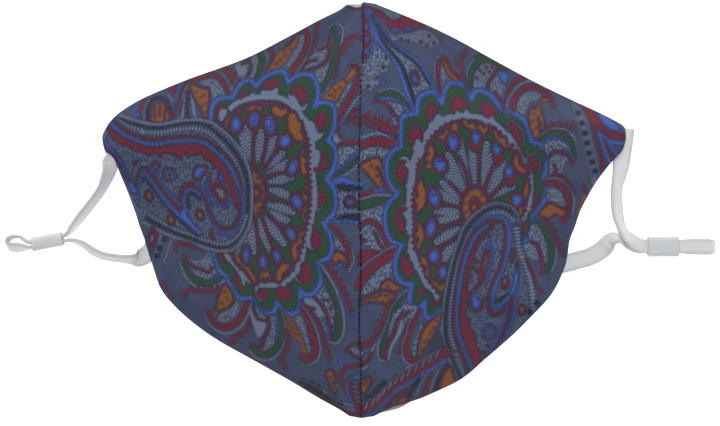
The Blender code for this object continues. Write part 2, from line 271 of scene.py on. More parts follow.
class Shader:  # a material with its Principled shader and a way to add nodes
    def __init__(self, name, **constants):
        self.material = bpy.data.materials.new(name)
        self.material.use_nodes = True
        self.tree = self.material.node_tree
        self.surface = self.tree.nodes["Principled BSDF"]
        self.column = 0
        for socket, value in constants.items():
            self.surface.inputs[socket.replace("_", " ")].default_value = value

    def node(self, kind, settings=None, inputs=None, output=0):
        made = self.tree.nodes.new(kind)
        self.column += 1
        made.location = (-220 * (self.column % 12) - 300, -260 * (self.column // 12))
        for key, value in (settings or {}).items():
            setattr(made, key, value)
        for key, value in (inputs or {}).items():
            self.feed(made.inputs[key], value)
        return Signal(self, made.outputs[output])

    def feed(self, socket, value):
        if isinstance(value, Signal):
            self.tree.links.new(value.socket, socket)
        else:
            socket.default_value = value

    def attribute(self, name, output="Fac"):
        return self.node("ShaderNodeAttribute", {"attribute_name": name}, output=output)

    def mix(self, amount, first, second):
        settings = {"data_type": "RGBA", "blend_type": "MIX", "clamp_factor": True}
        return self.node("ShaderNodeMix", settings, {0: amount, 6: first, 7: second}, output=2)

    def noise(self, vector, scale, detail=2.0, roughness=0.5):
        inputs = {"Vector": vector, "Scale": scale, "Detail": detail, "Roughness": roughness}
        return self.node("ShaderNodeTexNoise", {}, inputs)

    def stretch(self, vector, scale):
        return self.node("ShaderNodeVectorMath", {"operation": "MULTIPLY"}, {0: vector, 1: scale})

    def bump(self, height, strength, distance):
        inputs = {"Strength": strength, "Distance": distance, "Height": height}
        return self.node("ShaderNodeBump", {}, inputs)

    def finish(self, **links):
        for socket, value in links.items():
            self.feed(self.surface.inputs[socket.replace("_", " ")], value)
        return self.material


def rgb(*screen):
    # a colour as seen on a screen, 0 to 255, as the light values that Blender uses
    light = [((c / 255 + 0.055) / 1.055) ** 2.4 if c > 10 else c / 255 / 12.92 for c in screen]
    return (*light, 1.0)


# ear loops, on the routes of the solids, but tilted and narrowed in places to look like the photograph
band = {
    "width": 0.0060, "thick": 0.0012, "thinnest": 0.00003,
    "step": 0.7, "columns": 41,  # greatest step along the route in millimetres, and points across
    "ribs": 5, "ribHigh": 0.00003,
    "course": 0.55, "wale": 0.6,  # the stitches along and across, in millimetres
    "shade": rgb(120, 122, 126), "light": rgb(238, 238, 240),
}


def underEdge(sideName, station, inward, height, aim, tilt):
    rim = facePoint(sides[sideName], np.array(station), np.array(1.0))
    return (rim[0] / mm - sides[sideName]["way"] * inward, rim[1] / mm, height, aim, tilt, 1.0)


leftLoop = [
    # x, y, z in millimetres, aim and tilt of the band's width in degrees, share of its full width
    underEdge("left", 0.708, 3.1, 0.62, 0, 0),
    underEdge("left", 0.682, 3.1, 0.62, 0, 0),
    underEdge("left", 0.658, 2.8, 0.62, 0, 0),
    underEdge("left", 0.645, 2.2, 0.62, 0, -2),
    (-84.2, 16.2, 0.7, -2, -32, 1.0),
    (-85.0, 12.3, 2.4, -6, -52, 1.0),
    (-87.3, 6.9, 3.0, -22, -67, 1.0),
    (-90.6, 2.3, 3.0, -34, -68, 1.0),
    (-93.9, -1.9, 3.0, -40, -68, 1.0),
    (-96.6, -5.3, 3.1, -44, -74, 0.95),
    (-98.2, -7.3, 3.4, -60, -84, 0.85),
    (-99.7, -8.32, 3.45, -76, -90, 0.76),
    (-105.2, -9.40, 3.45, -76, -90, 0.76),
    (-110.7, -10.47, 3.45, -76, -90, 0.76),
    (-112.2, -9.8, 3.2, -60, -90, 0.88),
    (-114.0, -8.6, 3.0, -80, -88, 1.0),
    (-116.4, -8.5, 3.0, -90, -86, 1.0),
    (-118.0, -9.4, 3.0, -90, -80, 1.0),
    (-118.4, -10.8, 3.0, -90, -72, 1.0),
    (-117.4, -11.9, 3.0, -90, -64, 1.0),
    (-115.2, -12.1, 3.0, -90, -62, 1.0),
    (-112.6, -12.1, 3.1, -82, -72, 0.88),
    (-110.4, -12.07, 3.45, -76, -90, 0.76),
    (-104.9, -11.00, 3.45, -76, -90, 0.76),
    (-99.4, -9.94, 3.45, -80, -90, 0.76),
    (-97.1, -9.8, 3.4, -86, -84, 0.85),
    (-95.0, -10.3, 3.2, -110, -76, 0.95),
    (-92.7, -11.4, 3.1, -122, -70, 1.0),
    (-90.0, -13.4, 3.0, -120, -67, 1.0),
    (-86.3, -15.0, 3.0, -105, -67, 1.0),
    (-81.0, -15.8, 3.0, -94, -68, 1.0),
    (-76.8, -16.1, 2.8, -84, -60, 1.0),
    (-74.4, -15.6, 1.5, -60, -20, 1.0),
    underEdge("left", 0.394, 0.2, 0.62, -30, 0),
    underEdge("left", 0.414, 2.4, 0.62, -10, 0),
    underEdge("left", 0.432, 3.0, 0.62, 0, 0),
    underEdge("left", 0.452, 3.1, 0.62, 0, 0),
]
rightLoop = [
    (87.6, 27.6, 0.62, 180, 0, 1.0),
    (87.2, 24.5, 0.62, 180, 0, 1.0),
    (86.7, 21.0, 0.62, 180, 0, 1.0),
    (86.3, 18.2, 0.62, 181, 0, 1.0),
    (85.9, 15.6, 1.1, 183, 12, 1.0),
    (85.4, 13.0, 2.0, 184, 32, 1.0),
    (84.3, 7.9, 2.9, 182, 46, 1.0),
    (84.2, 2.6, 3.0, 181, 45, 1.0),
    (84.7, -1.7, 3.0, 190, 48, 1.0),
    (85.6, -5.0, 3.1, 206, 58, 1.0),
    (86.8, -7.4, 3.6, 228, 54, 0.95),
    (88.4, -9.2, 4.0, 246, 40, 0.9),
    (90.7, -11.0, 3.55, 262, 14, 0.82),
    (93.7, -11.85, 3.15, 270, 0, 0.76),
    (99.7, -11.85, 3.15, 270, 0, 0.76),
    (105.5, -11.85, 3.15, 270, 0, 0.76),
    (107.6, -11.87, 3.45, 270, 0, 0.84),
    (110.3, -11.9, 3.55, 270, 0, 0.88),
    (114.6, -11.9, 3.5, 270, 0, 0.89),
    (116.0, -11.9, 3.0, 270, 0, 0.80),
    (116.6, -11.9, 2.1, 270, 0, 0.66),
    (116.0, -11.9, 1.2, 270, 0, 0.80),
    (114.6, -11.9, 0.75, 270, 0, 0.89),
    (110.3, -11.9, 0.75, 270, 0, 0.88),
    (107.6, -11.87, 1.1, 270, 0, 0.84),
    (105.5, -11.85, 1.6, 270, 0, 0.76),
    (99.7, -11.85, 1.6, 270, 0, 0.76),
    (93.9, -11.85, 1.6, 270, 0, 0.76),
    (90.8, -11.6, 1.65, 268, 14, 0.82),
    (87.8, -10.4, 2.3, 256, 40, 0.9),
    (85.3, -9.1, 2.9, 262, 62, 0.95),
    (83.2, -9.3, 2.6, 288, 48, 1.0),
    (81.6, -10.7, 1.4, 312, 22, 1.0),
    (79.6, -12.9, 0.7, 308, 4, 1.0),
    (75.6, -15.2, 0.62, 292, 0, 1.0),
    (71.2, -16.5, 0.62, 288, 0, 1.0),
    (67.6, -17.5, 0.62, 284, 0, 1.0),
    underEdge("right", 0.360, 3.0, 0.62, 276, 0),
    underEdge("right", 0.360, 6.5, 0.62, 272, 0),
]


def routeLine(rows):
    # a smooth line through the rows, close enough together for a round bend
    knots = [np.array(row, float) for row in rows]
    knots = [2 * knots[0] - knots[1]] + knots + [2 * knots[-1] - knots[-2]]
    line = []
    for before, start, end, after in zip(knots, knots[1:], knots[2:], knots[3:]):
        pairs = ((before, start), (start, end), (end, after))
        gaps = [max(np.linalg.norm((b - a)[:3]), 1e-6) ** 0.5 for a, b in pairs]
        leave = (start - before) / gaps[0] - (end - before) / (gaps[0] + gaps[1]) + (end - start) / gaps[1]
        reach = (end - start) / gaps[1] - (after - start) / (gaps[1] + gaps[2]) + (after - end) / gaps[2]
        steps = max(1, math.ceil(np.linalg.norm((end - start)[:3]) / band["step"]))
        for u in np.arange(steps) / steps:
            point = (2 * u**3 - 3 * u**2 + 1) * start + (u**3 - 2 * u**2 + u) * leave * gaps[1]
            point += (3 * u**2 - 2 * u**3) * end + (u**3 - u**2) * reach * gaps[1]
            point[3:] = start[3:] + (end[3:] - start[3:]) * (3 * u**2 - 2 * u**3)
            line.append(point)
    return line + [knots[-2]]


def bandOutline():
    # half of the band's section from one edge to the other: rounded ends and low lengthwise ribs
    across = np.linspace(-1, 1, band["columns"])
    flat = band["thick"] / 2 * np.sqrt(np.clip(1 - np.abs(across) ** 9, 0, 1))
    ribs = band["ribHigh"] * (np.cos(across * math.pi * band["ribs"]) - 1)
    return across, np.maximum(flat + ribs * (flat > band["thick"] / 4), band["thinnest"])


def earLoop(name, rows, material):
    line = routeLine(rows)
    across, thick = bandOutline()
    across, thick = np.concatenate([across, across[::-1]]), np.concatenate([thick, -thick[::-1]])
    rings, middles = [], []
    for i, row in enumerate(line):
        point = Vector(row[:3]) * mm
        way = (Vector(line[min(i + 1, len(line) - 1)][:3]) - Vector(line[max(i - 1, 0)][:3])).normalized()
        aim, tilt = math.radians(row[3]), math.radians(row[4])
        wide = Vector((math.cos(aim) * math.cos(tilt), math.sin(aim) * math.cos(tilt), math.sin(tilt)))
        wide = (wide - way * wide.dot(way)).normalized()
        up = way.cross(wide)
        half = band["width"] * row[5] / 2
        point.z = max(point.z, half * abs(wide.z) + band["thick"] / 2 * abs(up.z))
        middles.append(point)
        rings.append(np.array(point) + np.outer(across * half, wide) + np.outer(thick, up))
    rings = np.array(rings)
    obj = gridMesh(name, rings, material, closed=True)
    steps = np.cumsum([0.0] + [(b - a).length for a, b in zip(middles, middles[1:])])
    count = len(across)
    place = np.stack([
        np.repeat(steps[:, None], count, 1),
        np.repeat(across[None] * band["width"] / 2, len(steps), 0),
        np.repeat(np.sign(thick)[None] * band["thick"], len(steps), 0),
    ], axis=-1)
    addAttribute(obj, "band", place / mm, "FLOAT_VECTOR")
    mesh = bmesh.new()
    mesh.from_mesh(obj.data)
    mesh.verts.ensure_lookup_table()
    mesh.faces.new([mesh.verts[k] for k in range(count)])
    mesh.faces.new([mesh.verts[len(mesh.verts) - count + k] for k in range(count)])
    bmesh.ops.recalc_face_normals(mesh, faces=mesh.faces[:])
    mesh.to_mesh(obj.data)
    mesh.free()
    return obj, [list(p) for p in middles], float(steps[-1])


def elasticFinish():
    paint = Shader("knitted elastic", Roughness=0.8, Sheen_Weight=0.15)
    place = paint.attribute("band", "Vector")
    parts = paint.node("ShaderNodeSeparateXYZ", {}, {0: place})
    along, side = parts, Signal(paint, parts.socket.node.outputs[1])
    wales = (side * (math.tau / band["wale"])).sine()
    courses = (along * (math.tau / band["course"]) + wales * 0.9).sine()  # knitted stitches
    cloud = paint.noise(place, 0.5, 3.0)
    shade = (0.93 + courses * 0.02 + wales * 0.012 + cloud * 0.07).clamped()
    # painted shade: the band darkens towards its two long edges, where its rounded sides turn from the light
    edge = (abs(side) * 0.42 - 0.55).clamped() * 0.35
    colour = paint.mix(shade - edge, band["shade"], band["light"])
    normal = paint.bump(courses * 0.5 + wales * 0.5, 0.5, 0.00008)
    return paint.finish(Base_Color=colour, Normal=normal)


elastic = elasticFinish()
loops = {}
for sideName, rows in (("left", leftLoop), ("right", rightLoop)):
    loop, path, length = earLoop(f"ear_loop_{sideName}_knit", rows, elastic)
    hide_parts(f"ear_loop_{sideName}")
    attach(loop, "root")
    loops[sideName] = (loop, path, length)
    print("ear loop", sideName, round(length / mm, 1), "mm")

# toggles
bead = {
    "length": 0.0104, "width": 0.0069, "height": 0.0048, "round": 0.0018,
    "rim": 0.0006,  # radius of the rims at both ends
    "waist": (0.00012, 0.00016),  # how much narrower and lower the middle is
    "bore": (0.0054, 0.0035), "boreRound": 0.0008, "flare": 0.0002,
    # middle in metres, heading and roll in degrees
    "places": {
        "left": ((-0.10505, -0.0102, 0.00345), 11.0, 90.0),
        "right": ((0.0997, -0.01185, 0.0024), 0.0, 0.0),
    },
    "shade": rgb(217, 217, 219), "light": rgb(231, 231, 234),
}


def roundedRing(width, height, corner, along, count=10):
    ring = []
    for quarter, (ys, zs) in enumerate(((1, 1), (-1, 1), (-1, -1), (1, -1))):
        for k in range(count):
            angle = math.radians(90 * quarter + 90 * k / (count - 1))
            y = ys * (width / 2 - corner) + corner * math.cos(angle)
            z = zs * (height / 2 - corner) + corner * math.sin(angle)
            ring.append((along, y, z))
    return ring


def beadShell(name, place, material):
    half, rim, flare = bead["length"] / 2, bead["rim"], bead["flare"]
    rings = []
    for turn in np.linspace(0, 90, 7):  # rounded rims from the bore over the end to the side
        inset = rim * (1 - math.sin(math.radians(turn)))
        width, height = bead["width"] - 2 * inset, bead["height"] - 2 * inset
        along = -half + rim * (1 - math.cos(math.radians(turn)))
        rings.append(roundedRing(width, height, bead["round"] - inset * 0.8, along))
    narrower, lower = bead["waist"]
    waist = [roundedRing(bead["width"] - narrower * s, bead["height"] - lower * s, bead["round"], x * half)
             for x, s in ((-0.6, 0.6), (-0.3, 1), (0, 1), (0.3, 1), (0.6, 0.6))]
    mirrored = [[(-x, y, z) for x, y, z in ring] for ring in reversed(rings)]
    width, height = bead["bore"]
    inside = (half - flare / 2, half * 0.5, 0, -half * 0.5, -half + flare / 2)
    bore = [roundedRing(width, height, bead["boreRound"], x) for x in inside]
    mouths = [roundedRing(width + flare, height + flare, bead["boreRound"] + flare / 2, x)
              for x in (half, -half)]
    rings = rings + waist + mirrored + [mouths[0]] + bore + [mouths[1]]
    rings.append(rings[0])
    obj = gridMesh(name, np.array(rings), material, closed=True)
    centre, heading, roll = place
    turn = Matrix.Rotation(math.radians(heading), 4, "Z") @ Matrix.Rotation(math.radians(roll), 4, "X")
    mesh = bmesh.new()
    mesh.from_mesh(obj.data)
    bmesh.ops.remove_doubles(mesh, verts=mesh.verts[:], dist=1e-6)
    mesh.transform(Matrix.Translation(centre) @ turn)
    bmesh.ops.recalc_face_normals(mesh, faces=mesh.faces[:])
    mesh.to_mesh(obj.data)
    mesh.free()
    return obj


def beadFinish():
    paint = Shader("milky silicone", Subsurface_Weight=0.3, Subsurface_Scale=0.003, IOR=1.43)
    place = paint.node("ShaderNodeTexCoord", {}, output="Object")
    cloud = paint.noise(place, 260.0, 2.0)
    colour = paint.mix(cloud, bead["shade"], bead["light"])
    grain = paint.noise(place, 1800.0, 3.0)
    normal = paint.bump(grain, 0.15, 0.0001)
    return paint.finish(Base_Color=colour, Roughness=0.3 + grain * 0.2, Normal=normal)


silicone = beadFinish()
for sideName, place in bead["places"].items():
    shell = beadShell(f"toggle_{sideName}_bead", place, silicone)
    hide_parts(f"toggle_{sideName}")
    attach(shell, "root")
    loop, path, length = loops[sideName]
print("toggles ready")

# floor and light
studio = {"floor": 3.0, "drop": 0.0002, "glow": 0.8, "sky": 0.35}
white = (1.0, 1.0, 1.0, 1.0)
floorData = bpy.data.meshes.new("floor")
half = studio["floor"] / 2
corners = [(-half, -half, 0), (half, -half, 0), (half, half, 0), (-half, half, 0)]
floorData.from_pydata(corners, [], [(0, 1, 2, 3)])
floor = bpy.data.objects.new("floor", floorData)
floor.location.z = -studio["drop"]
bpy.context.scene.collection.objects.link(floor)
floorPaint = Shader("pale floor", Base_Color=(0.93, 0.93, 0.93, 1.0), Roughness=0.9,
                    Emission_Color=white, Emission_Strength=studio["glow"])
floorData.materials.append(floorPaint.finish())
floor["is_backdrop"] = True
world = bpy.data.worlds.new("studio")
bpy.context.scene.world = world
world.use_nodes = True
world.node_tree.nodes["Background"].inputs["Color"].default_value = white
world.node_tree.nodes["Background"].inputs["Strength"].default_value = studio["sky"]
lamps = {
    # place in metres, aim, side in metres, watts
    "key": ((-0.15, 0.75, 0.95), (0.0, 0.0, 0.03), 0.7, 7.0),
    "fill": ((0.5, -0.5, 0.9), (0.0, 0.0, 0.03), 0.9, 2.5),
}
for name, (place, aim, side, power) in lamps.items():
    lamp = bpy.data.objects.new(name, bpy.data.lights.new(name, "AREA"))
    lamp.data.shape, lamp.data.size, lamp.data.energy = "SQUARE", side, power
    lamp.location = place
    lamp.rotation_euler = (Vector(aim) - Vector(place)).to_track_quat("-Z", "Y").to_euler()
    bpy.context.scene.collection.objects.link(lamp)
print("floor and lamps ready")


# the two printed panels
def chartPlace(points):
    # where a point shows in the photograph's frame; the print is drawn in these squares
    scale = view["focal"] / (view["height"] - points[..., 2])
    right = view["middle"][0] + (points[..., 0] - view["x"]) * scale
    down = view["middle"][1] - (points[..., 1] - view["y"]) * scale
    return np.stack([right, down], axis=-1)


def blurRows(grid, passes):
    # evens out the steps of the table along the seam, with both ends kept
    for _ in range(passes):
        inner = (grid[:-2] + 2 * grid[1:-1] + grid[2:]) / 4
        grid = np.concatenate([grid[:1], inner, grid[-1:]])
    return grid


def ease(values, low, high):
    t = np.clip((values - low) / (high - low), 0, 1)
    return t * t * (3 - 2 * t)


dents = [
    # middle and reach in chart squares, depth in millimetres, for the soft hollows and swells of the cloth
    (371, 265, 14, 85, -0.9),
    (300, 250, 60, 60, 0.5),
    (420, 120, 70, 40, 0.4),
    (560, 250, 26, 50, -0.8),
    (180, 300, 40, 36, -0.6),
    (150, 215, 20, 50, -0.6),
    (590, 150, 20, 30, 0.5),
]


def dentLift(points):
    place = chartPlace(points)
    lift = np.zeros(points.shape[:-1])
    for x, y, wide, high, depth in dents:
        lift += depth * mm * np.exp(-((place[..., 0] - x) / wide) ** 2 - ((place[..., 1] - y) / high) ** 2)
    return lift


def turnedUnder(edge, outward, normal):
    # the cloth that rolls under at an edge, as lines of points
    roll, turns = panel["roll"], np.radians(panel["turns"])
    return [edge + outward * roll * math.sin(a) - normal * roll * (1 - math.cos(a)) for a in turns]


def panelGrid(sideName):
    side, fades = sides[sideName], panel["fades"]
    station, share = np.linspace(0, 1, panel["rows"]), np.linspace(0, 1, panel["columns"])
    points = blurRows(facePoint(side, station[:, None], share[None, :]), panel["soften"])
    across, along, normal = gridFrame(points)
    trim = np.interp(station, *np.array(panel["trim"][sideName]).T)[:, None] * mm
    points = points - across * (trim * ease(share[None, :], *fades["trim"]))[..., None]
    fromSeam = np.abs(points[..., 0] - points[:, :1, 0])
    noseTrim = ease(station, *fades["nose"])[:, None] * (1 - ease(fromSeam, *panel["noseTrimWide"]))
    points = points - along * (panel["noseTrim"][sideName] * mm * noseTrim)[..., None]
    across, along, normal = gridFrame(points)
    fromSeam = np.abs(points[..., 0] - points[:, :1, 0])
    chinLift = np.minimum(fromSeam / panel["chinWide"], 1) * (1 - ease(station, *fades["chin"]))[:, None]
    points = points + along * (panel["chinPoint"][sideName] * mm * chinLift)[..., None]
    border = np.minimum(fromSeam, np.linalg.norm(points - points[:, -1:], axis=-1))
    points = points + normal * (dentLift(points) * ease(border, *fades["dents"]))[..., None]
    dip = panel["seamDip"] * np.exp(-((fromSeam / panel["seamDipWide"]) ** 2))
    points = points - normal * dip[..., None]
    across, along, normal = gridFrame(points)
    rim = turnedUnder(points[:, -1], across[:, -1], normal[:, -1])
    under = points[:, -1] - normal[:, -1] * 2 * panel["roll"]
    rim += [under - across[:, -1] * t for t in np.array([0.3, 0.6, 1.0]) * panel["turnIn"]]
    allowance = [points[:, 0] - np.array([0, 0, depth]) for depth in panel["allowance"]]
    points = np.concatenate([np.stack(allowance, 1), points, np.stack(rim, 1)], axis=1)
    across, along, normal = gridFrame(points)
    normal[:, -len(rim):] = normal[:, [-len(rim) - 1]]
    first, last = turnedUnder(points[0], -along[0], normal[0]), turnedUnder(points[-1], along[-1], normal[-1])
    points = np.concatenate([np.stack(first[::-1]), points, np.stack(last)])
    points[..., 2] = np.maximum(points[..., 2], panel["clear"])
    return points


def clothLengths(points):
    # lengths along the cloth, in millimetres, for the weave
    across = np.linalg.norm(np.diff(points, axis=1), axis=-1)
    along = np.linalg.norm(np.diff(points, axis=0), axis=-1)
    middle = points.shape[0] // 2
    u = np.concatenate([np.zeros((points.shape[0], 1)), np.cumsum(across, axis=1)], axis=1)
    v = np.concatenate([np.zeros((1, points.shape[1])), np.cumsum(along, axis=0)], axis=0)
    return np.stack([u, v - v[middle], 0 * u], axis=-1) / mm


def quadArea(points):
    a, b = points[1:, 1:] - points[:-1, :-1], points[1:, :-1] - points[:-1, 1:]
    return float(np.linalg.norm(np.cross(a, b), axis=-1).sum() / 2)


panelGrids = {sideName: panelGrid(sideName) for sideName in sides}
spots = np.concatenate([chartPlace(grid).reshape(-1, 2) for grid in panelGrids.values()])

# the paisley print, drawn in squares of a third of a millimetre, x to the right and y down
inkNames = ("mist", "pale", "dark", "green", "ochre", "burgundy", "blue")
chart = {
    "far": 4.0,  # the distance that stands for no shape near
    "reach": 3,  # how far past its edge a shape's distance is worked out
    "tickReach": 1.5,  # and how far its ticks are
    "featherTicks": 3.6, "featherSlant": 0.9,
    "budEdge": (3.2, 3.4), "patchEdge": 1.6,  # how far the burgundy shows round a bud or an ochre piece
}
ink = {name: np.full(len(spots), chart["far"]) for name in inkNames + ("lace", "ticks")}
tickPhase = np.zeros(len(spots))


def curve(numbers, closed=False):
    # a smooth line through the points, given as x, y, x, y
    points = np.array(numbers, float).reshape(-1, 2)
    if len(points) < 3:
        return points
    ends = 2 * points[:1] - points[1:2], 2 * points[-1:] - points[-2:-1]
    if closed:
        ends = points[-1:], points[:2]
    knots = np.concatenate([ends[0], points, ends[1]])
    u = np.linspace(0, 1, 5)[:-1, None]
    line = [
        0.5 * (2 * b + (c - a) * u + (2 * a - 5 * b + 4 * c - d) * u**2 + (3 * b - a - 3 * c + d) * u**3)
        for a, b, c, d in zip(knots, knots[1:], knots[2:], knots[3:])
    ]
    return np.concatenate(line + [knots[-2:-1]])


def near(line, margin):
    low, high = line.min(0) - margin, line.max(0) + margin
    return np.nonzero((spots > low).all(1) & (spots < high).all(1))[0]


def measure(where, line):
    # distance to the line, length along it, and side of it, for each spot
    p = spots[where]
    best, along, side = np.full(len(p), 1e9), np.zeros(len(p)), np.zeros(len(p))
    run = 0.0
    for a, b in zip(line, line[1:]):
        step = b - a
        length = max(math.hypot(*step), 1e-9)
        t = np.clip(((p - a) @ step) / length**2, 0, 1)
        away = p - a - t[:, None] * step
        far = np.hypot(away[:, 0], away[:, 1])
        closer = far < best
        turn = step[0] * (p[:, 1] - a[1]) - step[1] * (p[:, 0] - a[0])
        best = np.where(closer, far, best)
        along = np.where(closer, run + t * length, along)
        side = np.where(closer, np.sign(turn), side)
        run += length
    return best, along, side, run


def lay(name, where, distance, grain=None, phase=None):
    # prints a shape over what is there; distance is negative inside it
    for other in ink:
        if other not in (name, grain):
            ink[other][where] = np.maximum(ink[other][where], -distance)
    for one in (name, grain):
        if one in ink:
            ink[one][where] = np.minimum(ink[one][where], distance)
    if phase is not None:
        inside = distance < chart["tickReach"]
        tickPhase[where[inside]] = phase[inside]


def stroke(name, width, *numbers, grain=None, pitch=3.0, slant=0.0):
    # a line; width is one number, or three from its start to its end
    line = curve(numbers)
    widths = width if isinstance(width, tuple) else (width,) * 3
    where = near(line, max(widths) / 2 + chart["reach"])
    far, along, side, run = measure(where, line)
    half = np.interp(along / max(run, 1e-9), (0, 0.5, 1), widths) / 2
    lay(name, where, far - half, grain, (along + slant * far) / pitch if grain == "ticks" else None)


def blob(name, *numbers, grain=None):
    line = curve(numbers, closed=True)
    where = near(line, chart["reach"])
    far = measure(where, line)[0]
    p, inside = spots[where], np.zeros(len(where), bool)
    for (ax, ay), (bx, by) in zip(line, line[1:]):
        if ay != by:
            crosses = (ay > p[:, 1]) != (by > p[:, 1])
            inside ^= crosses & (p[:, 0] < ax + (p[:, 1] - ay) * (bx - ax) / (by - ay))
    lay(name, where, np.where(inside, -far, far), grain)


def oval(name, x, y, wide, high, tilt=0.0):
    c, s = math.cos(math.radians(tilt)), math.sin(math.radians(tilt))
    where = near(np.array([(x, y)]), max(wide, high) + chart["reach"])
    p = spots[where] - (x, y)
    u, v = (p[:, 0] * c + p[:, 1] * s) / wide, (p[:, 1] * c - p[:, 0] * s) / high
    lay(name, where, (np.hypot(u, v) - 1) * min(wide, high))


def dots(name, size, *numbers):
    for x, y in np.array(numbers, float).reshape(-1, 2):
        oval(name, x, y, size, size)


def fringe(name, width, teeth, pitch, *numbers):
    # a band with teeth on its left hand side, or on the right where teeth is negative
    line = curve(numbers)
    where = near(line, width / 2 + abs(teeth) + chart["reach"])
    far, along, side, run = measure(where, line)
    saw = abs(teeth) * (1 - abs(2 * ((along / pitch) % 1) - 1))
    reach = np.where(side * teeth < 0, width / 2 + saw, width / 2)
    ends = np.maximum(0.8 - along, along - run + 0.8)
    lay(name, where, np.maximum(far - reach, ends * (far > width / 2)))


def rope(width, pitch, *numbers):
    stroke("pale", width, *numbers, grain="ticks", pitch=pitch)


def feather(width, *numbers):
    # a pale petal with slanting barbs on both sides of its rib
    start, end = np.array(numbers[:2]), np.array(numbers[-2:])
    tip = end + (end - start) * 0.16
    widths = (width * 0.5, width, width * 0.7)
    pitch, slant = chart["featherTicks"], chart["featherSlant"]
    stroke("pale", widths, *numbers[:-2], *tip, grain="ticks", pitch=pitch, slant=slant)


def around(x, y, share, numbers):
    # the same line drawn nearer to a middle point
    line = np.array(numbers, float).reshape(-1, 2) - (x, y)
    return (line * share + (x, y)).ravel()


def bud(x, y, wide, high, tilt):
    edgeWide, edgeHigh = chart["budEdge"]
    oval("burgundy", x, y, wide + edgeWide, high + edgeHigh, tilt)
    oval("blue", x, y, wide, high, tilt)


def patch(*numbers):
    # an ochre piece in a burgundy edge
    line = np.array(numbers, float).reshape(-1, 2)
    middle = line.mean(0)
    away = line - middle
    far = np.maximum(np.hypot(away[:, 0], away[:, 1]), 1)
    wider = middle + away * (1 + chart["patchEdge"] / far)[:, None]
    blob("burgundy", *wider.ravel())
    blob("ochre", *numbers)


# top left corner
stroke("burgundy", 3, 146, 98, 142, 103, 141, 108, 139, 113, 140, 119)
stroke("blue", 2, 134, 108, 133, 112, 136, 118)
dots("blue", 2, 138, 115)
stroke("pale", 2, 149, 100, 146, 108, 145, 118)
stroke("dark", 3.5, 148, 119, 148, 110, 152, 101, 159, 98, 166, 101, 170, 110, 171, 118)
patch(151, 115, 153, 107, 159, 103, 165, 105, 168, 112, 169, 120, 160, 122, 152, 121)
for x, y in ((155, 108), (160, 106), (165, 109)):
    stroke("burgundy", 1.2, x, y, x - 0.5, y + 5, x, y + 10)
stroke("pale", 2, 168, 95, 172, 100, 175, 108, 174, 117)
blob("burgundy", 168, 86, 173, 84, 177, 86, 174, 95, 171, 92)
stroke("blue", 2.5, 182, 82, 178, 91, 176, 100, 174, 108)
stroke("pale", 2, 189, 82, 184, 92, 181, 104, 178, 117)
stroke("burgundy", 3, 187, 80, 181, 91, 178, 101, 175, 111, 173, 117)
stroke("burgundy", 1.5, 186, 92, 182, 102, 180, 111, 178, 115)
stroke("pale", 3, 184, 93, 184, 105, 182, 118)
stroke("pale", 3, 192, 92, 193, 105, 195, 118)
dots("dark", 2, 188, 93, 187.5, 98.5, 187, 103.5, 187, 108.5, 187, 113.5, 188, 118)
patch(190, 84, 194, 84, 199, 87, 204, 89, 208, 89, 209, 97, 208, 107, 207, 117, 204, 117, 201, 110, 197, 102,
      193, 95)
dots("dark", 0.9, 204, 95, 200, 98, 206, 103, 202, 106, 205, 112, 196, 92)
blob("pale", 200, 80, 208, 78, 216, 79, 222, 86, 227, 95, 222, 97, 214, 99, 211, 92, 209, 87, 203, 85,
     grain="lace")
stroke("burgundy", (4, 5, 4), 194, 80, 201, 78, 208, 75, 215, 75, 221, 80, 226, 88, 229, 94)
stroke("pale", 2, 212, 71, 220, 73, 227, 79, 231, 87, 232, 95)
blob("burgundy", 220, 67, 228, 67, 233, 71, 237, 73, 234, 79, 232, 85, 229, 78, 225, 72)
blob("pale", 235, 65, 241, 61, 249, 57, 256, 53, 259, 60, 257, 70, 255, 78, 249, 79, 244, 80, 238, 86,
     234, 91, 234, 84, 237, 76, grain="lace")
blob("pale", 236, 66, 242, 63, 246, 69, 241, 75, 237, 73)
stroke("burgundy", 2.4, 242, 64, 247, 61, 251, 65, 250, 71, 247, 77)
stroke("burgundy", 2, 250, 56, 249, 62)
stroke("burgundy", 2, 240, 79, 237, 84, 235, 89)

# between the left flower and the seam
stroke("pale", 2, 265, 51, 268, 58, 267, 66, 263, 74, 259, 80)
stroke("green", 5, 259, 51, 262, 60, 260, 70, 257, 79)
stroke("burgundy", 3, 269, 48, 273, 55, 270, 64, 266, 73)
blob("ochre", 299, 32, 297, 44, 293, 50, 290, 56, 284, 63, 278, 68, 268, 74, 261, 79, 266, 71, 271, 63,
     275, 57, 281, 50, 289, 45, 294, 38)
dots("dark", 1.0, 285, 55, 280, 60, 284, 50, 290, 49, 276, 64, 272, 70)
stroke("burgundy", 1.4, 296, 33, 293, 40, 286, 46)
blob("pale", 300, 35, 305, 36, 304, 46, 300, 54, 294, 62, 287, 69, 285, 66, 289, 58, 294, 50, 298, 43,
     grain="lace")
stroke("burgundy", (5, 5, 6), 300, 31, 306, 31, 308, 38, 306, 48, 301, 58, 295, 67, 291, 76)
stroke("pale", 2, 309, 27, 312, 35, 311, 44, 307, 54, 303, 63, 297, 71, 292, 79)
fringe("burgundy", 3, 2.5, 7, 317, 21, 316, 29, 315, 38, 312, 47, 309, 56)
blob("pale", 309, 57, 316, 51, 325, 47, 329, 50, 327, 57, 321, 63, 312, 69, 303, 71, 305, 64, grain="lace")
blob("pale", 318, 68, 325, 62, 330, 56, 333, 62, 330, 72, 325, 80, 320, 84, 315, 77, grain="lace")
stroke("burgundy", 2.4, 301, 72, 309, 70, 318, 67, 325, 62, 329, 54, 330, 44, 325, 47, 319, 50)
stroke("burgundy", 2, 302, 68, 308, 62, 316, 60)
stroke("pale", 1.6, 329, 39, 325, 44, 321, 48)
stroke("burgundy", 1.8, 334, 29, 331, 35, 328, 42)
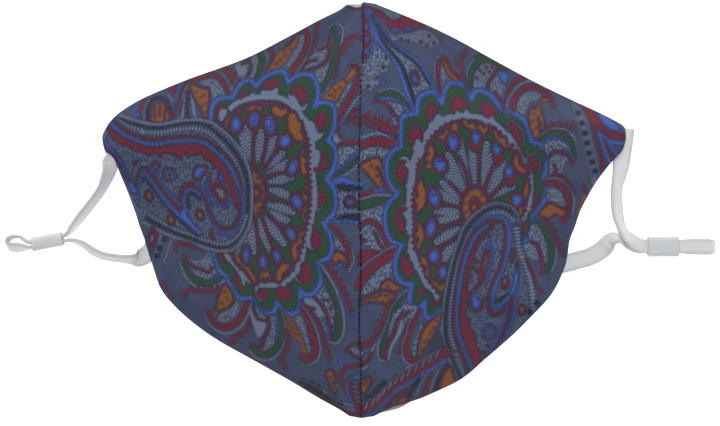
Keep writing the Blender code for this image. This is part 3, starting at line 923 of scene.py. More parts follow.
stroke("pale", 2, 330, 27, 336, 24, 341, 26, 343, 33, 341, 46, 339, 57, 336, 70, 330, 83, 321, 97)
stroke("green", (5, 6, 5), 334, 28, 337, 37, 336, 48, 334, 58, 332, 69, 327, 80, 321, 91)
stroke("blue", 2, 335, 26, 339, 30, 340, 36)
stroke("burgundy", 3.4, 362, 39, 355, 36, 348, 39, 343, 46, 340, 54)
stroke("burgundy", 2.2, 340, 52, 338, 62, 336, 72, 333, 82)
stroke("burgundy", 2, 352, 43, 346, 48, 342, 55)
stroke("blue", 1, 347, 55, 348, 58)
stroke("pale", 1.6, 349, 66, 353, 63, 359, 65, 362, 68)
stroke("blue", 1.5, 334, 80, 330, 85)
blob("ochre", 352, 68, 356, 68, 357, 72, 352, 80, 347, 86, 343, 94, 340, 101, 334, 101, 322, 98, 329, 91,
     337, 83, 345, 79, 350, 72)
dots("dark", 1.1, 335, 91, 330, 95, 340, 88, 334, 97, 346, 82)
blob("pale", 355, 75, 352, 83, 348, 92, 342, 101, 337, 110, 335, 106, 339, 98, 344, 90, 349, 82, grain="lace")
stroke("burgundy", (4, 6, 5), 351, 66, 357, 67, 359, 75, 356, 86, 351, 96, 345, 106, 340, 116, 337, 128)
stroke("pale", 2, 361, 94, 354, 103, 347, 113, 341, 122, 334, 133)
blob("burgundy", 360, 108, 353, 109, 349, 116, 345, 124, 350, 121, 354, 124, 361, 127, 356, 117)
stroke("pale", 1.5, 358, 112, 355, 114, 349, 120)
blob("pale", 333, 136, 337, 131, 341, 137, 343, 141, 340, 146, 335, 148)
stroke("burgundy", 2, 336, 128, 341, 138)
stroke("burgundy", 3.4, 336, 148, 341, 144, 349, 143, 361, 143)
blob("pale", 335, 150, 343, 147, 352, 147, 360, 147, 360, 153, 351, 160, 343, 166, 337, 170, 336, 160,
     grain="lace")
stroke("blue", 3, 361, 149, 353, 156, 345, 164, 336, 173)
stroke("green", (4, 6, 2), 361, 156, 353, 162, 345, 169, 334, 176)
stroke("pale", 2, 361, 162, 352, 170, 344, 175, 334, 178)
stroke("blue", (4, 5, 4), 335, 182, 342, 179, 350, 183, 361, 184)
blob("dark", 337, 186, 345, 184, 361, 187, 361, 190, 348, 191, 339, 189)
blob("pale", 338, 192, 350, 192, 361, 191, 361, 215, 352, 215, 343, 215, 336, 212, grain="lace")
oval("dark", 350, 202, 6.5, 6.5)
oval("burgundy", 350, 202, 5.2, 5.2)
oval("blue", 350, 202, 2.6, 2.4)
blob("dark", 337, 219, 344, 215, 353, 214, 361, 215, 361, 220, 348, 221)
stroke("blue", 2.6, 336, 222, 345, 221, 361, 223)
stroke("pale", 1.6, 332, 226, 339, 230, 346, 239, 352, 250, 354, 260, 349, 271)
stroke("burgundy", (3, 5, 3), 330, 226, 337, 231, 343, 239, 348, 249, 349, 259, 346, 268)
blob("pale", 334, 234, 339, 239, 344, 247, 346, 255, 341, 252, 336, 247, 333, 241, grain="lace")
patch(334, 253, 338, 252, 343, 254, 346, 259, 347, 264, 343, 262, 339, 261, 335, 263, 332, 259)
stroke("blue", 1.6, 337, 264, 343, 265)

# left flower
blob("green", 213, 118, 214, 106, 219, 101, 228, 99, 236, 96, 241, 87, 250, 82, 256, 88, 263, 81, 272, 76,
     281, 73, 287, 84, 296, 79, 304, 77, 312, 79, 315, 92, 314, 106, 322, 106, 331, 107, 332, 122, 326, 141,
     332, 148, 333, 160, 326, 178, 333, 192, 333, 208, 323, 222, 328, 236, 328, 252, 316, 262, 317, 278,
     310, 291, 300, 290, 296, 309, 284, 310, 277, 302, 268, 311, 256, 304, 250, 296, 238, 296, 230, 284,
     226, 274, 218, 266, 216, 256, 225, 253, 232, 250, 241, 244, 252, 225, 254, 200, 253, 180, 246, 160,
     233, 141, 222, 131, 213, 123)
for arc in (
    (211, 121, 212, 108, 217, 100, 225, 97, 233, 98), (233, 98, 236, 90, 242, 83, 250, 80, 256, 86),
    (256, 86, 262, 79, 270, 74, 280, 71, 286, 74, 288, 83),
    (288, 83, 295, 77, 303, 74, 312, 76, 317, 85, 318, 97, 314, 107),
    (314, 107, 320, 103, 328, 103, 334, 108, 335, 120, 333, 132, 327, 141),
    (327, 141, 334, 146, 336, 158, 333, 170, 326, 179), (326, 179, 333, 188, 336, 200, 333, 214, 323, 223),
    (323, 223, 329, 233, 332, 245, 330, 256, 318, 263),
    (318, 263, 321, 273, 320, 284, 314, 293, 306, 295, 300, 290),
    (300, 290, 300, 302, 297, 311, 290, 314, 283, 311, 277, 302),
    (277, 302, 275, 310, 269, 314, 261, 311, 250, 297), (250, 297, 243, 299, 236, 295, 231, 287, 226, 276),
    (226, 276, 220, 271, 216, 264, 213, 255, 213, 248),
):
    stroke("blue", 4.2, *arc)
stroke("pale", 7, 231, 108, 237, 103, 245, 100, 252, 98, 260, 97, 270, 97, 280, 98, 288, 102, 294, 107,
       300, 114, 305, 121)
stroke("pale", (9, 9, 9), 305, 121, 309, 130, 311, 140, 312, 151, 311, 163, 312, 175, 313, 187, 313, 198,
       312, 210, 310, 222)
stroke("pale", 7, 310, 222, 308, 232, 304, 242, 303, 252, 301, 261, 297, 270, 291, 277, 284, 283, 274, 285,
       262, 285)
stroke("pale", 7, 262, 285, 252, 282, 244, 276, 239, 269, 233, 262, 226, 256)
fringe("burgundy", 2.4, 3.6, 6, *around(256, 193, 0.92, (
    231, 108, 245, 100, 260, 97, 280, 98, 294, 107, 305, 121, 311, 140, 311, 163, 313, 187, 312, 210,
    308, 232, 303, 252, 297, 270, 284, 283, 262, 285, 244, 276, 233, 262)))
for shape in (
    (219, 110, 223, 106, 227, 108, 227, 116, 222, 122, 218, 119), (248, 96, 254, 92, 256, 98, 250, 101),
    (261, 90, 270, 90, 278, 87, 277, 97, 262, 98),
    (287, 96, 292, 92, 298, 100, 302, 106, 307, 99, 308, 106, 302, 112, 293, 108),
    (303, 122, 311, 120, 316, 124, 318, 132, 325, 132, 320, 140, 311, 141),
    (312, 152, 319, 149, 321, 156, 319, 166, 322, 172, 314, 172),
    (312, 190, 320, 188, 318, 200, 321, 211, 313, 208), (307, 232, 313, 228, 312, 240, 315, 251, 306, 246),
    (296, 262, 302, 264, 299, 274, 302, 284, 294, 278), (275, 283, 282, 281, 291, 282, 280, 290),
    (254, 283, 262, 284, 258, 292, 268, 298, 262, 302, 256, 297),
    (236, 270, 243, 273, 246, 281, 244, 290, 238, 288, 241, 281),
):
    blob("pale", *shape)
for x, y, wide, high, tilt in ((321, 121, 5.5, 8.5, 8), (316, 240, 5, 10, 0)):
    oval("burgundy", x, y, wide, high, tilt)
stroke("burgundy", 3, 217, 120, 216, 112, 220, 107, 225, 107)
stroke("burgundy", 4, 240, 97, 247, 92)
blob("burgundy", 262, 89, 265, 82, 272, 79, 278, 79, 279, 87, 275, 86, 271, 90, 267, 88)
blob("burgundy", 290, 95, 293, 89, 299, 86, 305, 89, 308, 96, 306, 103, 302, 106, 302, 101, 297, 99, 296, 94)
stroke("burgundy", (3, 6, 4), 322, 151, 326, 160, 323, 168, 316, 170)
stroke("burgundy", (3, 7, 3), 319, 190, 323, 198, 319, 207)
blob("burgundy", 301, 266, 304, 262, 310, 268, 312, 275, 310, 281, 304, 284, 298, 279, 297, 275, 302, 275)
blob("burgundy", 276, 291, 280, 286, 285, 288, 288, 283, 291, 290, 290, 297, 285, 301, 279, 298)
blob("burgundy", 257, 292, 262, 290, 267, 289, 268, 296, 264, 300, 259, 297)
stroke("burgundy", 4, 235, 276, 238, 283, 242, 287)
stroke("burgundy", 4, 220, 254, 224, 261)
for shape in (
    (224, 127, 226, 119, 230, 115, 236, 112, 234, 116, 229, 120, 227, 127),
    (244, 107, 248, 108, 252, 105, 257, 107, 262, 105, 261, 110, 255, 112, 248, 111),
    (271, 103, 273, 107, 277, 105, 281, 109, 286, 108, 287, 113, 282, 117, 276, 116, 272, 112),
    (288, 114, 292, 113, 296, 113, 298, 120, 302, 124, 301, 131, 304, 138, 302, 141, 296, 140, 290, 136,
     288, 128),
    (302, 149, 305, 151, 303, 156, 307, 160, 305, 166, 308, 172, 305, 175, 302, 174, 300, 166, 300, 157),
    (306, 185, 308, 188, 305, 192, 308, 198, 305, 204, 308, 210, 304, 214, 307, 221, 305, 223, 302, 215,
     301, 205, 303, 194),
    (299, 233, 304, 230, 305, 233, 301, 238, 303, 243, 297, 247, 298, 253, 297, 260, 294, 261, 291, 251,
     293, 244, 297, 238),
    (276, 280, 276, 273, 280, 266, 284, 263, 291, 266, 286, 271, 283, 274, 282, 279, 279, 282),
    (259, 279, 261, 272, 264, 269, 269, 272, 271, 279, 269, 280, 267, 277, 265, 282, 263, 277, 261, 282),
):
    patch(*shape)
stroke("burgundy", 8, 235, 252, 239, 262, 246, 268, 251, 275, 255, 282)
stroke("ochre", 4.5, 235, 252, 239, 261, 246, 267, 251, 274, 254, 280)
for rib in (
    (246, 163, 246, 148, 241, 134), (252, 160, 250, 146, 248, 132), (258, 161, 259, 148, 261, 136),
    (264, 162, 269, 150, 273, 141), (266, 168, 275, 160, 281, 154), (268, 174, 277, 170, 284, 164),
    (269, 182, 279, 180, 289, 178), (269, 190, 279, 192, 288, 196), (268, 205, 278, 207, 290, 211),
    (267, 211, 276, 216, 284, 219), (264, 217, 272, 228, 281, 240), (258, 219, 263, 232, 268, 245),
    (251, 222, 252, 234, 253, 248), (246, 236, 243, 244, 240, 250),
):
    feather(11, *rib)
for ray in (
    (253, 168, 253, 150, 254, 134), (261, 166, 265, 150, 267, 138), (265, 168, 272, 157, 279, 149),
    (266, 178, 273, 174, 281, 173), (267, 197, 278, 199, 288, 202), (266, 211, 275, 221, 284, 229),
    (261, 214, 267, 232, 274, 250), (255, 215, 257, 232, 259, 250),
):
    stroke("burgundy", 2.6, *ray)
for x, y, wide, high, tilt in (
    (236, 124, 4, 7, 0), (254, 120, 4.5, 7, 10), (270, 125, 4.5, 8, -8), (285, 141, 5, 6, 30),
    (293, 167, 3.5, 7, 20), (297, 202, 4, 7, -20), (291, 234, 3.5, 6, -25), (277, 256, 3, 6, -12),
    (263, 262, 3, 6, -8), (246, 255, 2.6, 7, 0),
):
    bud(x, y, wide, high, tilt)
stroke("burgundy", 1.2, 257, 114, 252, 126)
stroke("burgundy", 1.2, 274, 119, 268, 131)
oval("burgundy", 252, 193, 15.5, 25)
oval("ochre", 252, 193, 12.6, 22)
oval("burgundy", 256, 193, 5.5, 9)
oval("ochre", 256, 193, 2.6, 4.5)
dots("burgundy", 1.2, 258, 178, 262, 184, 263, 192, 262, 201, 259, 208)

# left paisley
blob("mist", 96, 108, 118, 112, 130, 117, 145, 121, 160, 122, 175, 119, 190, 118, 203, 118, 214, 122,
     224, 130, 234, 140, 246, 158, 253, 178, 254, 200, 252, 224, 242, 243, 232, 251, 220, 253, 206, 250,
     190, 244, 174, 239, 158, 232, 146, 225, 132, 217, 118, 190, 100, 165, 92, 140, grain="lace")
stroke("pale", 3.6, 120, 115, 135, 120, 148, 123.5, 160, 124, 172, 122, 185, 120, 200, 120, 211, 122,
       221, 129, 232, 139, 244, 156, 251, 178, 252, 200, 250, 224, 240, 243, 231, 250, 220, 251, 206, 248,
       190, 243, 174, 237, 158, 230, 143, 222)
stroke("dark", 1.8, 118, 119, 133, 124, 148, 127.5, 160, 128, 172, 126, 185, 123.5, 198, 123.5, 208, 126.5,
       217, 133, 228, 143.5, 240, 160, 247, 180, 248, 200, 246, 223, 237, 240, 229, 246, 219, 247.5, 206, 244,
       190, 238, 176, 233, 160, 226, 146, 218)
rope(5, 3.2, 140, 132, 160, 132.5, 174, 130, 188, 128.5, 201, 129.5, 212, 135, 223, 146, 234, 160, 241, 178,
     243, 188)
rope(4.6, 3.2, 247, 214, 241, 231, 231, 242, 220, 244, 206, 240.5, 190, 234.5, 176, 229.5, 162, 222.5,
     150, 215)
rope(4, 3.2, 108, 113, 118, 120, 130, 126.5, 142, 130)
stroke("burgundy", 2.6, 113, 118, 120, 126, 130, 133, 140, 136.5, 150, 139, 160, 139, 170, 137.5, 180, 136.5,
       192, 136, 202, 137.5, 209, 141, 217, 147, 225, 154, 232, 163, 237, 172, 241, 184, 242, 198, 241, 210)
stroke("blue", 3.2, 110, 122, 118, 130, 127, 136, 136, 140, 146, 143.5, 156, 144, 165, 142.5, 176, 141,
       188, 140.5, 198, 141, 206, 144, 214, 150, 222, 157, 229, 165, 234, 174, 238, 186, 239, 200)
blob("burgundy", 104, 124, 109, 127, 118, 134, 128, 139.5, 140, 144.5, 150, 147, 160, 147, 170, 145, 185, 144,
     197, 144, 205, 147, 213, 153, 221, 161, 227, 169, 232, 179, 236, 191, 238, 206, 234, 206, 231, 194,
     227, 184, 222, 174, 218, 168, 214, 168, 211, 162, 205, 160, 203, 156, 196, 154, 190, 156, 184, 154,
     180, 160, 175, 155, 168, 153, 163, 154, 160, 158, 155, 153, 150, 156, 143, 152, 136, 151, 128, 147,
     119, 143, 111, 136)
stroke("blue", 2.4, 209, 212, 214, 224, 221, 233, 229, 235, 237, 229, 242, 218, 244, 204, 243, 188)
stroke("burgundy", 3, 211, 214, 217, 225, 225, 229, 233, 226, 239, 217, 240, 203, 238, 190)
stroke("blue", 2, 209, 176, 208, 187, 213, 197, 219, 205, 224, 208, 229, 203, 230, 196)
blob("burgundy", 210, 172, 212, 183, 218, 183, 226, 188, 229, 196, 226, 203, 223, 206, 217, 200, 212, 191,
     209, 182)
blob("pale", 215, 189, 220, 188, 225, 192, 225, 198, 222, 200, 218, 195, grain="lace")
stroke("burgundy", (3, 4.5, 3), 187, 217, 182, 208, 180, 197, 183, 188, 189, 184.5, 197, 187, 203, 193,
       207, 202, 211, 214)
stroke("blue", 2, 196, 183, 203, 188, 208, 197, 211, 208)
stroke("blue", 3, 187, 212, 184, 203, 185, 195, 189, 189.5, 195, 190.5, 200, 195)
stroke("dark", 2, 189, 208, 188, 200, 190, 194, 195, 194, 200, 199)
stroke("blue", (2, 3, 4), 138, 204, 138, 190, 141, 177, 144, 172, 148, 177, 154, 185, 161, 195, 169, 205,
       179, 215, 190, 224, 200, 233)
stroke("dark", 1.6, 142, 182, 144, 178, 147, 181, 155, 191, 163, 202, 172, 212, 185, 225, 198, 236)
stroke("burgundy", 2.4, 136, 193, 137, 181, 141, 169, 146, 168)
stroke("burgundy", (3, 3.4, 4), 145, 168, 152, 175, 158, 185, 166, 196, 175, 206, 184, 215)
stroke("blue", 2, 150, 168, 157, 176, 164, 186, 172, 196, 180, 205)
blob("blue", 184, 208, 188, 216, 194, 224, 200, 231, 196, 232, 188, 225, 180, 217)
oval("burgundy", 155.5, 166, 4, 5)
oval("blue", 155.5, 166.5, 1.8, 2)
dots("burgundy", 2.2, 135, 163)
dots("blue", 6.4, 170, 175)
dots("mist", 4.6, 170, 175)
dots("burgundy", 1.9, 167, 169, 173, 170, 176, 176, 170, 180, 164, 177, 164, 172)
dots("burgundy", 1.3, 170, 175)
blob("burgundy", 193, 179, 193, 170, 199, 165, 207, 166, 207, 171, 203, 176, 200, 180)
blob("blue", 195, 177, 195, 171, 200, 167, 206, 169, 202, 173, 199, 178)
oval("burgundy", 221, 177, 3.4, 6, 0)
oval("blue", 221, 177, 1.6, 3.4)
for x, y, tilt in ((149, 196, -20), (171, 220, 0), (200, 215, -15)):
    oval("burgundy", x, y, 4, 5.6, tilt)
    oval("ochre", x, y, 2.8, 4.2, tilt)
oval("burgundy", 212, 235, 2, 4.6, -18)
stroke("blue", 5.5, 104, 143, 111, 151, 118, 160, 124, 170, 129, 181, 134, 191)
stroke("burgundy", 3, 103, 145, 111, 153, 118, 162, 124, 172, 129, 182)

# lower left
stroke("blue", 2, 152, 228, 149, 236, 148, 244)
blob("burgundy", 152, 226, 157, 234, 156, 242, 151, 250, 150, 240, 147, 246, 147, 238)
blob("pale", 152, 233, 154, 238, 151, 244, 150, 238)
stroke("pale", 2, 162, 232, 158, 246, 152, 262)
stroke("pale", 2, 172, 238, 168, 250, 164, 262)
dots("dark", 2.4, 165, 239, 160, 248, 157, 256)
stroke("burgundy", (3, 4, 2), 176, 250, 178, 243, 186, 244, 195, 247, 203, 251)
blob("pale", 184, 254, 190, 259, 198, 261, 205, 256, 211, 253, 214, 262, 217, 272, 214, 278, 205, 280,
     196, 277, 189, 270, 184, 262, grain="lace")
blob("pale", 203, 258, 210, 252, 213, 258, 211, 266, 203, 266, 198, 262, grain="lace")
stroke("burgundy", 2.4, 185, 256, 188, 263, 194, 267, 201, 269, 208, 272, 212, 268)
stroke("blue", 2, 190, 272, 198, 279, 207, 281, 216, 276)
stroke("pale", 2.4, 180, 262, 185, 275, 194, 285, 206, 289, 217, 286, 226, 279)
stroke("green", (3, 7, 3), 183, 262, 189, 273, 198, 281, 209, 283, 221, 277)
fringe("burgundy", 3, 4, 7, 185, 297, 187, 291, 194, 291, 203, 292, 212, 291, 220, 289)
patch(222, 288, 226, 285, 230, 290, 233, 297, 231, 304, 226, 308, 220, 311, 216, 317, 212, 316, 216, 308,
      218, 299)
dots("dark", 0.9, 224, 292, 227, 299, 222, 303, 218, 310)
blob("pale", 216, 318, 222, 311, 230, 308, 235, 303, 240, 301, 240, 309, 234, 317, 226, 322, 219, 322,
     grain="lace")
stroke("burgundy", (4, 6, 5), 208, 311, 211, 320, 219, 326, 228, 327, 237, 322, 243, 313, 247, 302)
stroke("pale", 2.4, 205, 312, 209, 323, 218, 331, 229, 333, 240, 327, 247, 317, 251, 304)
fringe("burgundy", 3, -4, 6, 231, 344, 234, 337, 241, 333, 247, 326, 251, 318)
stroke("burgundy", 2.4, 230, 342, 233, 337, 240, 333)
stroke("blue", 1, 240, 338, 242, 342)
for x, y in ((163, 285), (166, 290), (170, 297)):
    stroke("burgundy", 2, x - 2, y + 2, x, y - 2, x + 3, y + 1)
stroke("blue", 1, 167, 270, 166, 280)

# nose end, right of the seam
blob("pale", 364, 4, 376, 4, 388, 10, 402, 16, 400, 21, 392, 21, 384, 17, 372, 11, grain="lace")
blob("burgundy", 361, 8, 368, 6, 374, 9, 381, 11, 387, 17, 393, 20, 399, 19, 404, 15, 412, 17, 420, 22,
     426, 27, 418, 28, 412, 31, 407, 32, 402, 30, 397, 33, 391, 31, 387, 26, 382, 21, 376, 15, 368, 12)
oval("blue", 395, 30, 3, 1.6)
oval("blue", 408, 29, 3, 1.6)
dots("blue", 1.5, 383, 21, 416, 26)
blob("pale", 388, 34, 396, 36, 404, 34, 412, 33, 420, 30, 428, 31, 436, 36, 439, 44, 432, 47, 424, 46,
     416, 43, 408, 41, 400, 39, 392, 41, grain="lace")
dots("burgundy", 1.1, 401, 39, 408, 41, 421, 42, 429, 36, 427, 45, 434, 43, 441, 39)
stroke("burgundy", 6, 365, 14, 366, 26, 367, 38, 367, 48, 365, 56)
for y in (26, 39, 51):
    oval("blue", 366.5, y, 2, 2.4)
stroke("blue", 2.6, 366, 11, 370, 20, 373, 28, 371, 31, 376, 36, 376, 42, 371, 46, 372, 52, 368, 57, 365, 63,
       364, 72)
blob("pale", 372, 42, 378, 47, 385, 54, 390, 59, 388, 65, 386, 72, 380, 74, 379, 83, 373, 86, 371, 92,
     365, 89, 360, 85, 360, 66, 365, 60, 372, 53, grain="lace")
dots("burgundy", 1.4, 383, 67, 377, 77.5, 368, 86.5, 386, 57.5)
blob("pale", 379, 33, 386, 43, 396, 51, 407, 58, 417, 65, 424, 76, 432, 87, 425, 89, 419, 91, 414, 100,
     411, 90, 408, 79, 404, 69, 397, 60, 389, 50, grain="lace")
stroke("blue", (2, 3, 3.4), 364, 10, 369, 17, 374, 26, 378, 36, 383, 46, 390, 55, 397, 64, 401, 74, 405, 86,
       409, 97, 413, 107)
stroke("dark", (1.4, 2.6, 3.6), 370, 17, 377, 29, 382, 40, 388, 49, 396, 58, 403, 69, 407.5, 80, 411, 91,
       415, 104)
stroke("pale", 1.4, 368, 12, 376, 22, 383, 33, 391, 43)
stroke("blue", 2.6, 369, 10, 376, 19, 383, 31, 391, 43, 403, 51, 414, 58, 421, 66, 428, 77, 434, 88)
stroke("dark", 2.2, 372, 15, 380, 28, 387, 39.5, 396, 47.5, 407, 55.5, 416, 63, 423, 73, 430, 84)
oval("burgundy", 415, 78, 4.5, 7.5, -12)
oval("blue", 415, 79, 2.2, 3.8, -12)
stroke("blue", 1, 381, 75, 383, 84)
stroke("pale", 1.8, 379, 92, 389, 88.5, 398, 91, 406, 98, 413, 108)
stroke("green", (2, 6, 3), 376, 97, 385, 93.5, 393, 94, 401, 98.5, 410, 108)
stroke("blue", 2.2, 379, 99.5, 387, 98.5, 395, 100, 402, 104, 408, 111)
blob("pale", 388, 102, 396, 102, 403, 106, 401, 113, 397, 120, 391, 112, grain="lace")
stroke("burgundy", 3.2, 375, 101, 382, 101.5, 388, 106, 393, 114, 400, 122)
stroke("pale", 3, 394, 118, 397, 127, 399, 138)
fringe("burgundy", 6, 9, 7.5, 361, 119, 371, 124, 381, 128, 390, 132, 398, 140)
stroke("pale", 2.6, 361, 138, 369, 135, 378, 133.5, 387, 136, 397, 143)
blob("burgundy", 360, 145, 368, 139, 378, 137, 388, 139, 395, 143, 389, 148, 380, 146, 371, 146, 360, 150)
blob("pale", 360, 152, 372, 147, 385, 148, 392, 149, 388, 158, 384, 166, 378, 158, 368, 158, 360, 162,
     grain="lace")
patch(361, 166, 368, 161, 376, 158, 380, 160, 383, 168, 386, 178, 391, 188, 392, 193, 387, 190, 380, 188,
      373, 180, 366, 172)
dots("dark", 1.1, 376, 169, 377, 176, 381, 181, 384, 177, 383, 186, 371, 166)
stroke("burgundy", 1.6, 378, 167, 382, 178, 387, 188)
stroke("burgundy", 3.6, 360, 196, 368, 193, 375, 190)
stroke("blue", 3, 375, 190.5, 385, 190)
stroke("pale", 2.4, 359, 200, 368, 197, 378, 195, 391, 196)
stroke("green", (9, 8, 3), 360, 205.5, 371, 203, 381, 200.5, 391, 199)
blob("pale", 360, 212, 372, 208, 383, 205, 387, 209, 384, 220, 382, 229, 374, 221, 366, 222, 360, 224,
     grain="lace")
blob("pale", 360, 230, 368, 225, 375, 228, 380, 237, 386, 248, 380, 252, 373, 249, 366, 245, 361, 238,
     grain="lace")
stroke("burgundy", (4, 5, 4), 360, 226, 366, 222, 371, 221, 378, 226, 384, 234, 388, 246)
stroke("burgundy", 2.2, 375, 233, 379, 243, 386, 250)
dots("burgundy", 1.6, 361, 237, 363, 240)
blob("burgundy", 359, 253, 368, 250, 376, 251, 385, 252, 379, 257, 371, 262, 359, 268)
stroke("burgundy", (9, 8, 7), 359, 286, 365, 275, 373, 267, 381, 261, 389, 255, 397, 250)
stroke("pale", 2.6, 360, 269, 369, 261, 378, 255, 387, 249, 397, 246)
blob("pale", 360, 299, 363, 286, 370, 278, 378, 270, 386, 264, 393, 260, 394, 268, 389, 277, 384, 281,
     379, 290, 370, 296, grain="lace")
patch(360, 303, 367, 299, 376, 297, 382, 294, 381, 286, 386, 281, 391, 281, 397, 285, 405, 288, 398, 290,
      394, 293, 394, 300, 388, 304, 380, 303, 371, 302)
dots("dark", 1.2, 388, 286, 391, 290, 384, 290, 390, 299, 376, 301, 382, 302, 369, 302, 386, 296)
stroke("burgundy", 2, 386, 290, 391, 293, 396, 293)
stroke("burgundy", 2, 360, 298, 372, 294, 380, 289)
fringe("burgundy", 4, -5, 6.5, 392, 302, 389, 311, 384, 323, 379, 333, 372, 343, 366, 346, 359, 345)
stroke("green", (4, 6, 5), 405, 294, 398, 303, 392, 315, 388, 328, 384, 342, 382, 356)
stroke("pale", 2.4, 407, 290, 398, 299, 391, 309, 387, 322, 382, 335, 378, 347, 379, 358, 385, 362)

# right flower
blob("green", 397, 194, 390, 184, 387, 170, 389, 156, 397, 149, 401, 140, 402, 122, 410, 115, 417, 108,
     419, 99, 427, 93, 436, 94, 442, 103, 444, 92, 452, 84, 462, 85, 472, 98, 475, 93, 484, 92, 494, 99,
     502, 110, 514, 113, 525, 122, 531, 140, 541, 145, 546, 158, 543, 180, 545, 194, 538, 209, 533, 218,
     532, 230, 524, 243, 515, 240, 500, 230, 470, 260, 445, 312, 436, 317, 427, 315, 424, 303, 414, 307,
     411, 295, 412, 284, 400, 279, 396, 266, 402, 245, 390, 238, 386, 222, 388, 205)
for arc in (
    (441, 310, 436, 316, 429, 318, 425, 312, 425, 302), (425, 302, 419, 308, 412, 305, 410, 295, 412, 284),
    (412, 284, 404, 283, 397, 276, 395, 266, 397, 255, 402, 245),
    (402, 245, 391, 240, 386, 229, 385, 215, 389, 203, 398, 194),
    (398, 194, 391, 186, 387, 175, 387, 162, 392, 152, 401, 147),
    (401, 147, 401, 130, 402, 119, 408, 115, 417, 114),
    (417, 114, 418, 101, 424, 94, 432, 92, 438, 96, 442, 104),
    (442, 104, 444, 92, 450, 84, 458, 83, 466, 88, 472, 99),
    (472, 99, 475, 92, 482, 91, 490, 95, 497, 103, 502, 110),
    (502, 110, 512, 112, 521, 117, 528, 127, 532, 142), (532, 142, 540, 144, 546, 152, 547, 163, 543, 180),
    (543, 180, 546, 190, 544, 201, 539, 209, 533, 216), (533, 216, 533, 228, 529, 237, 523, 244),
):
    stroke("blue", 4.4, *arc)
stroke("pale", (6, 8, 9), 438, 300, 434, 291, 427, 285, 423, 277, 419, 268, 414, 258, 411, 248, 413, 236,
       411, 225, 409, 214)
stroke("pale", (9, 10, 10), 409, 214, 410, 203, 411, 190, 412, 178, 414, 165, 418, 153, 423, 143, 428, 135,
       434, 128)
stroke("pale", (10, 7, 6), 434, 128, 441, 122, 449, 118, 458, 116, 468, 116, 478, 117, 487, 120, 494, 123,
       500, 128, 507, 135)
stroke("pale", (6, 6, 6), 507, 135, 514, 143, 520, 154, 525, 165, 530, 174, 531, 184, 531, 195, 529, 205,
       525, 215, 522, 226)
fringe("burgundy", 2.4, 3.6, 6, *around(474, 209, 0.92, (
    438, 300, 427, 285, 419, 268, 411, 248, 411, 225, 410, 203, 412, 178, 418, 153, 428, 135, 441, 122,
    458, 116, 478, 117, 494, 123, 507, 135, 520, 154, 530, 174, 531, 195, 525, 215)))
for shape in (
    (399, 158, 406, 156, 412, 162, 416, 160, 416, 180, 412, 190, 405, 187, 408, 178, 408, 170, 403, 165),
    (401, 206, 408, 205, 412, 212, 412, 232, 405, 235, 404, 230, 406, 222, 403, 215),
    (405, 252, 412, 249, 418, 256, 418, 268, 414, 273, 413, 263, 409, 261, 409, 255),
    (412, 146, 417, 138, 424, 144, 425, 152, 420, 160, 414, 152),
    (429, 122, 434, 117, 439, 112, 443, 120, 436, 130, 428, 129),
    (455, 109, 462, 113, 465, 109, 469, 110, 471, 119, 453, 119),
    (483, 116, 488, 120, 492, 115, 496, 121, 490, 127, 483, 123),
    (508, 131, 513, 136, 515, 142, 519, 148, 512, 149, 506, 140),
    (526, 157, 531, 165, 533, 173, 531, 180, 526, 172), (529, 194, 534, 192, 533, 202, 534, 208, 527, 212),
):
    blob("pale", *shape)
stroke("pale", 1.6, 410, 127, 417, 124.5, 423, 130, 425, 138)
stroke("pale", 1.4, 434, 104, 440, 111, 442, 117)
stroke("pale", 1.4, 481, 105, 484, 101, 491, 103, 497, 112)
stroke("pale", 2, 507, 130, 507, 124, 512, 121, 519, 126, 524, 136, 523, 146)
stroke("pale", 2, 526, 160, 529, 155, 535, 154, 540, 161, 540, 170)
stroke("pale", 1.6, 398, 160, 404, 157.5, 410, 161)
stroke("pale", 1.6, 397, 209, 402, 204.5, 409, 206)
for shape in (
    (409, 134, 411, 129, 416, 127, 421, 129, 423, 136, 422, 142, 419, 138, 416, 138, 413, 146, 410, 141),
    (426, 113, 427, 107, 431, 104, 436, 107, 440, 114, 435, 112, 434, 118, 430, 121, 427, 118),
    (452, 112, 451, 103, 455, 97, 461, 97, 466, 103, 469, 109, 464, 109, 462, 112, 458, 108, 454, 114),
    (480, 109, 482, 104, 487, 103, 493, 107, 496, 114, 496, 120, 492, 114, 488, 118, 484, 115),
    (507, 127, 509, 124, 514, 124, 519, 130, 522, 138, 521, 146, 518, 146, 518, 141, 514, 138, 513, 131,
     509, 130),
    (528, 162, 529, 158, 534, 157, 538, 163, 539, 171, 535, 171, 532, 165),
):
    blob("burgundy", *shape)
stroke("burgundy", 4, 535, 196, 538, 200, 533, 207)
stroke("burgundy", 4, 524, 223, 523, 230, 520, 236)
for shape in (
    (397, 169, 399, 162, 404, 160, 406, 162, 403, 166, 408, 172, 405, 178, 405, 184, 400, 181, 397, 175),
    (396, 218, 398, 210, 403, 207, 407, 209, 402, 213, 402, 218, 405, 222, 404, 228, 407, 232, 403, 233,
     398, 229),
    (401, 264, 404, 256, 408, 254, 407, 259, 411, 262, 411, 268, 415, 271, 410, 276, 404, 273),
    (418, 292, 420, 286, 422, 290, 427, 292, 423, 297, 419, 295),
    (431, 305, 432, 300, 436, 302, 441, 298, 440, 303, 436, 307),
):
    blob("burgundy", *shape)
patch(437, 137, 443, 134, 445, 130, 450, 130, 452, 124, 457, 123, 458, 131, 451, 135, 446, 140, 439, 139)
patch(462, 121, 465, 119, 469, 124, 473, 122, 476, 127, 481, 124, 484, 128, 488, 124, 488, 130, 484, 135,
      479, 130, 472, 130, 466, 127)
patch(493, 130, 497, 131, 499, 137, 505, 138, 507, 144, 513, 144, 509, 148, 503, 147, 498, 142, 495, 137)
blob("burgundy", 513, 155, 517, 149, 522, 157, 523, 163, 530, 166, 531, 173, 525, 177, 517, 173, 512, 164)
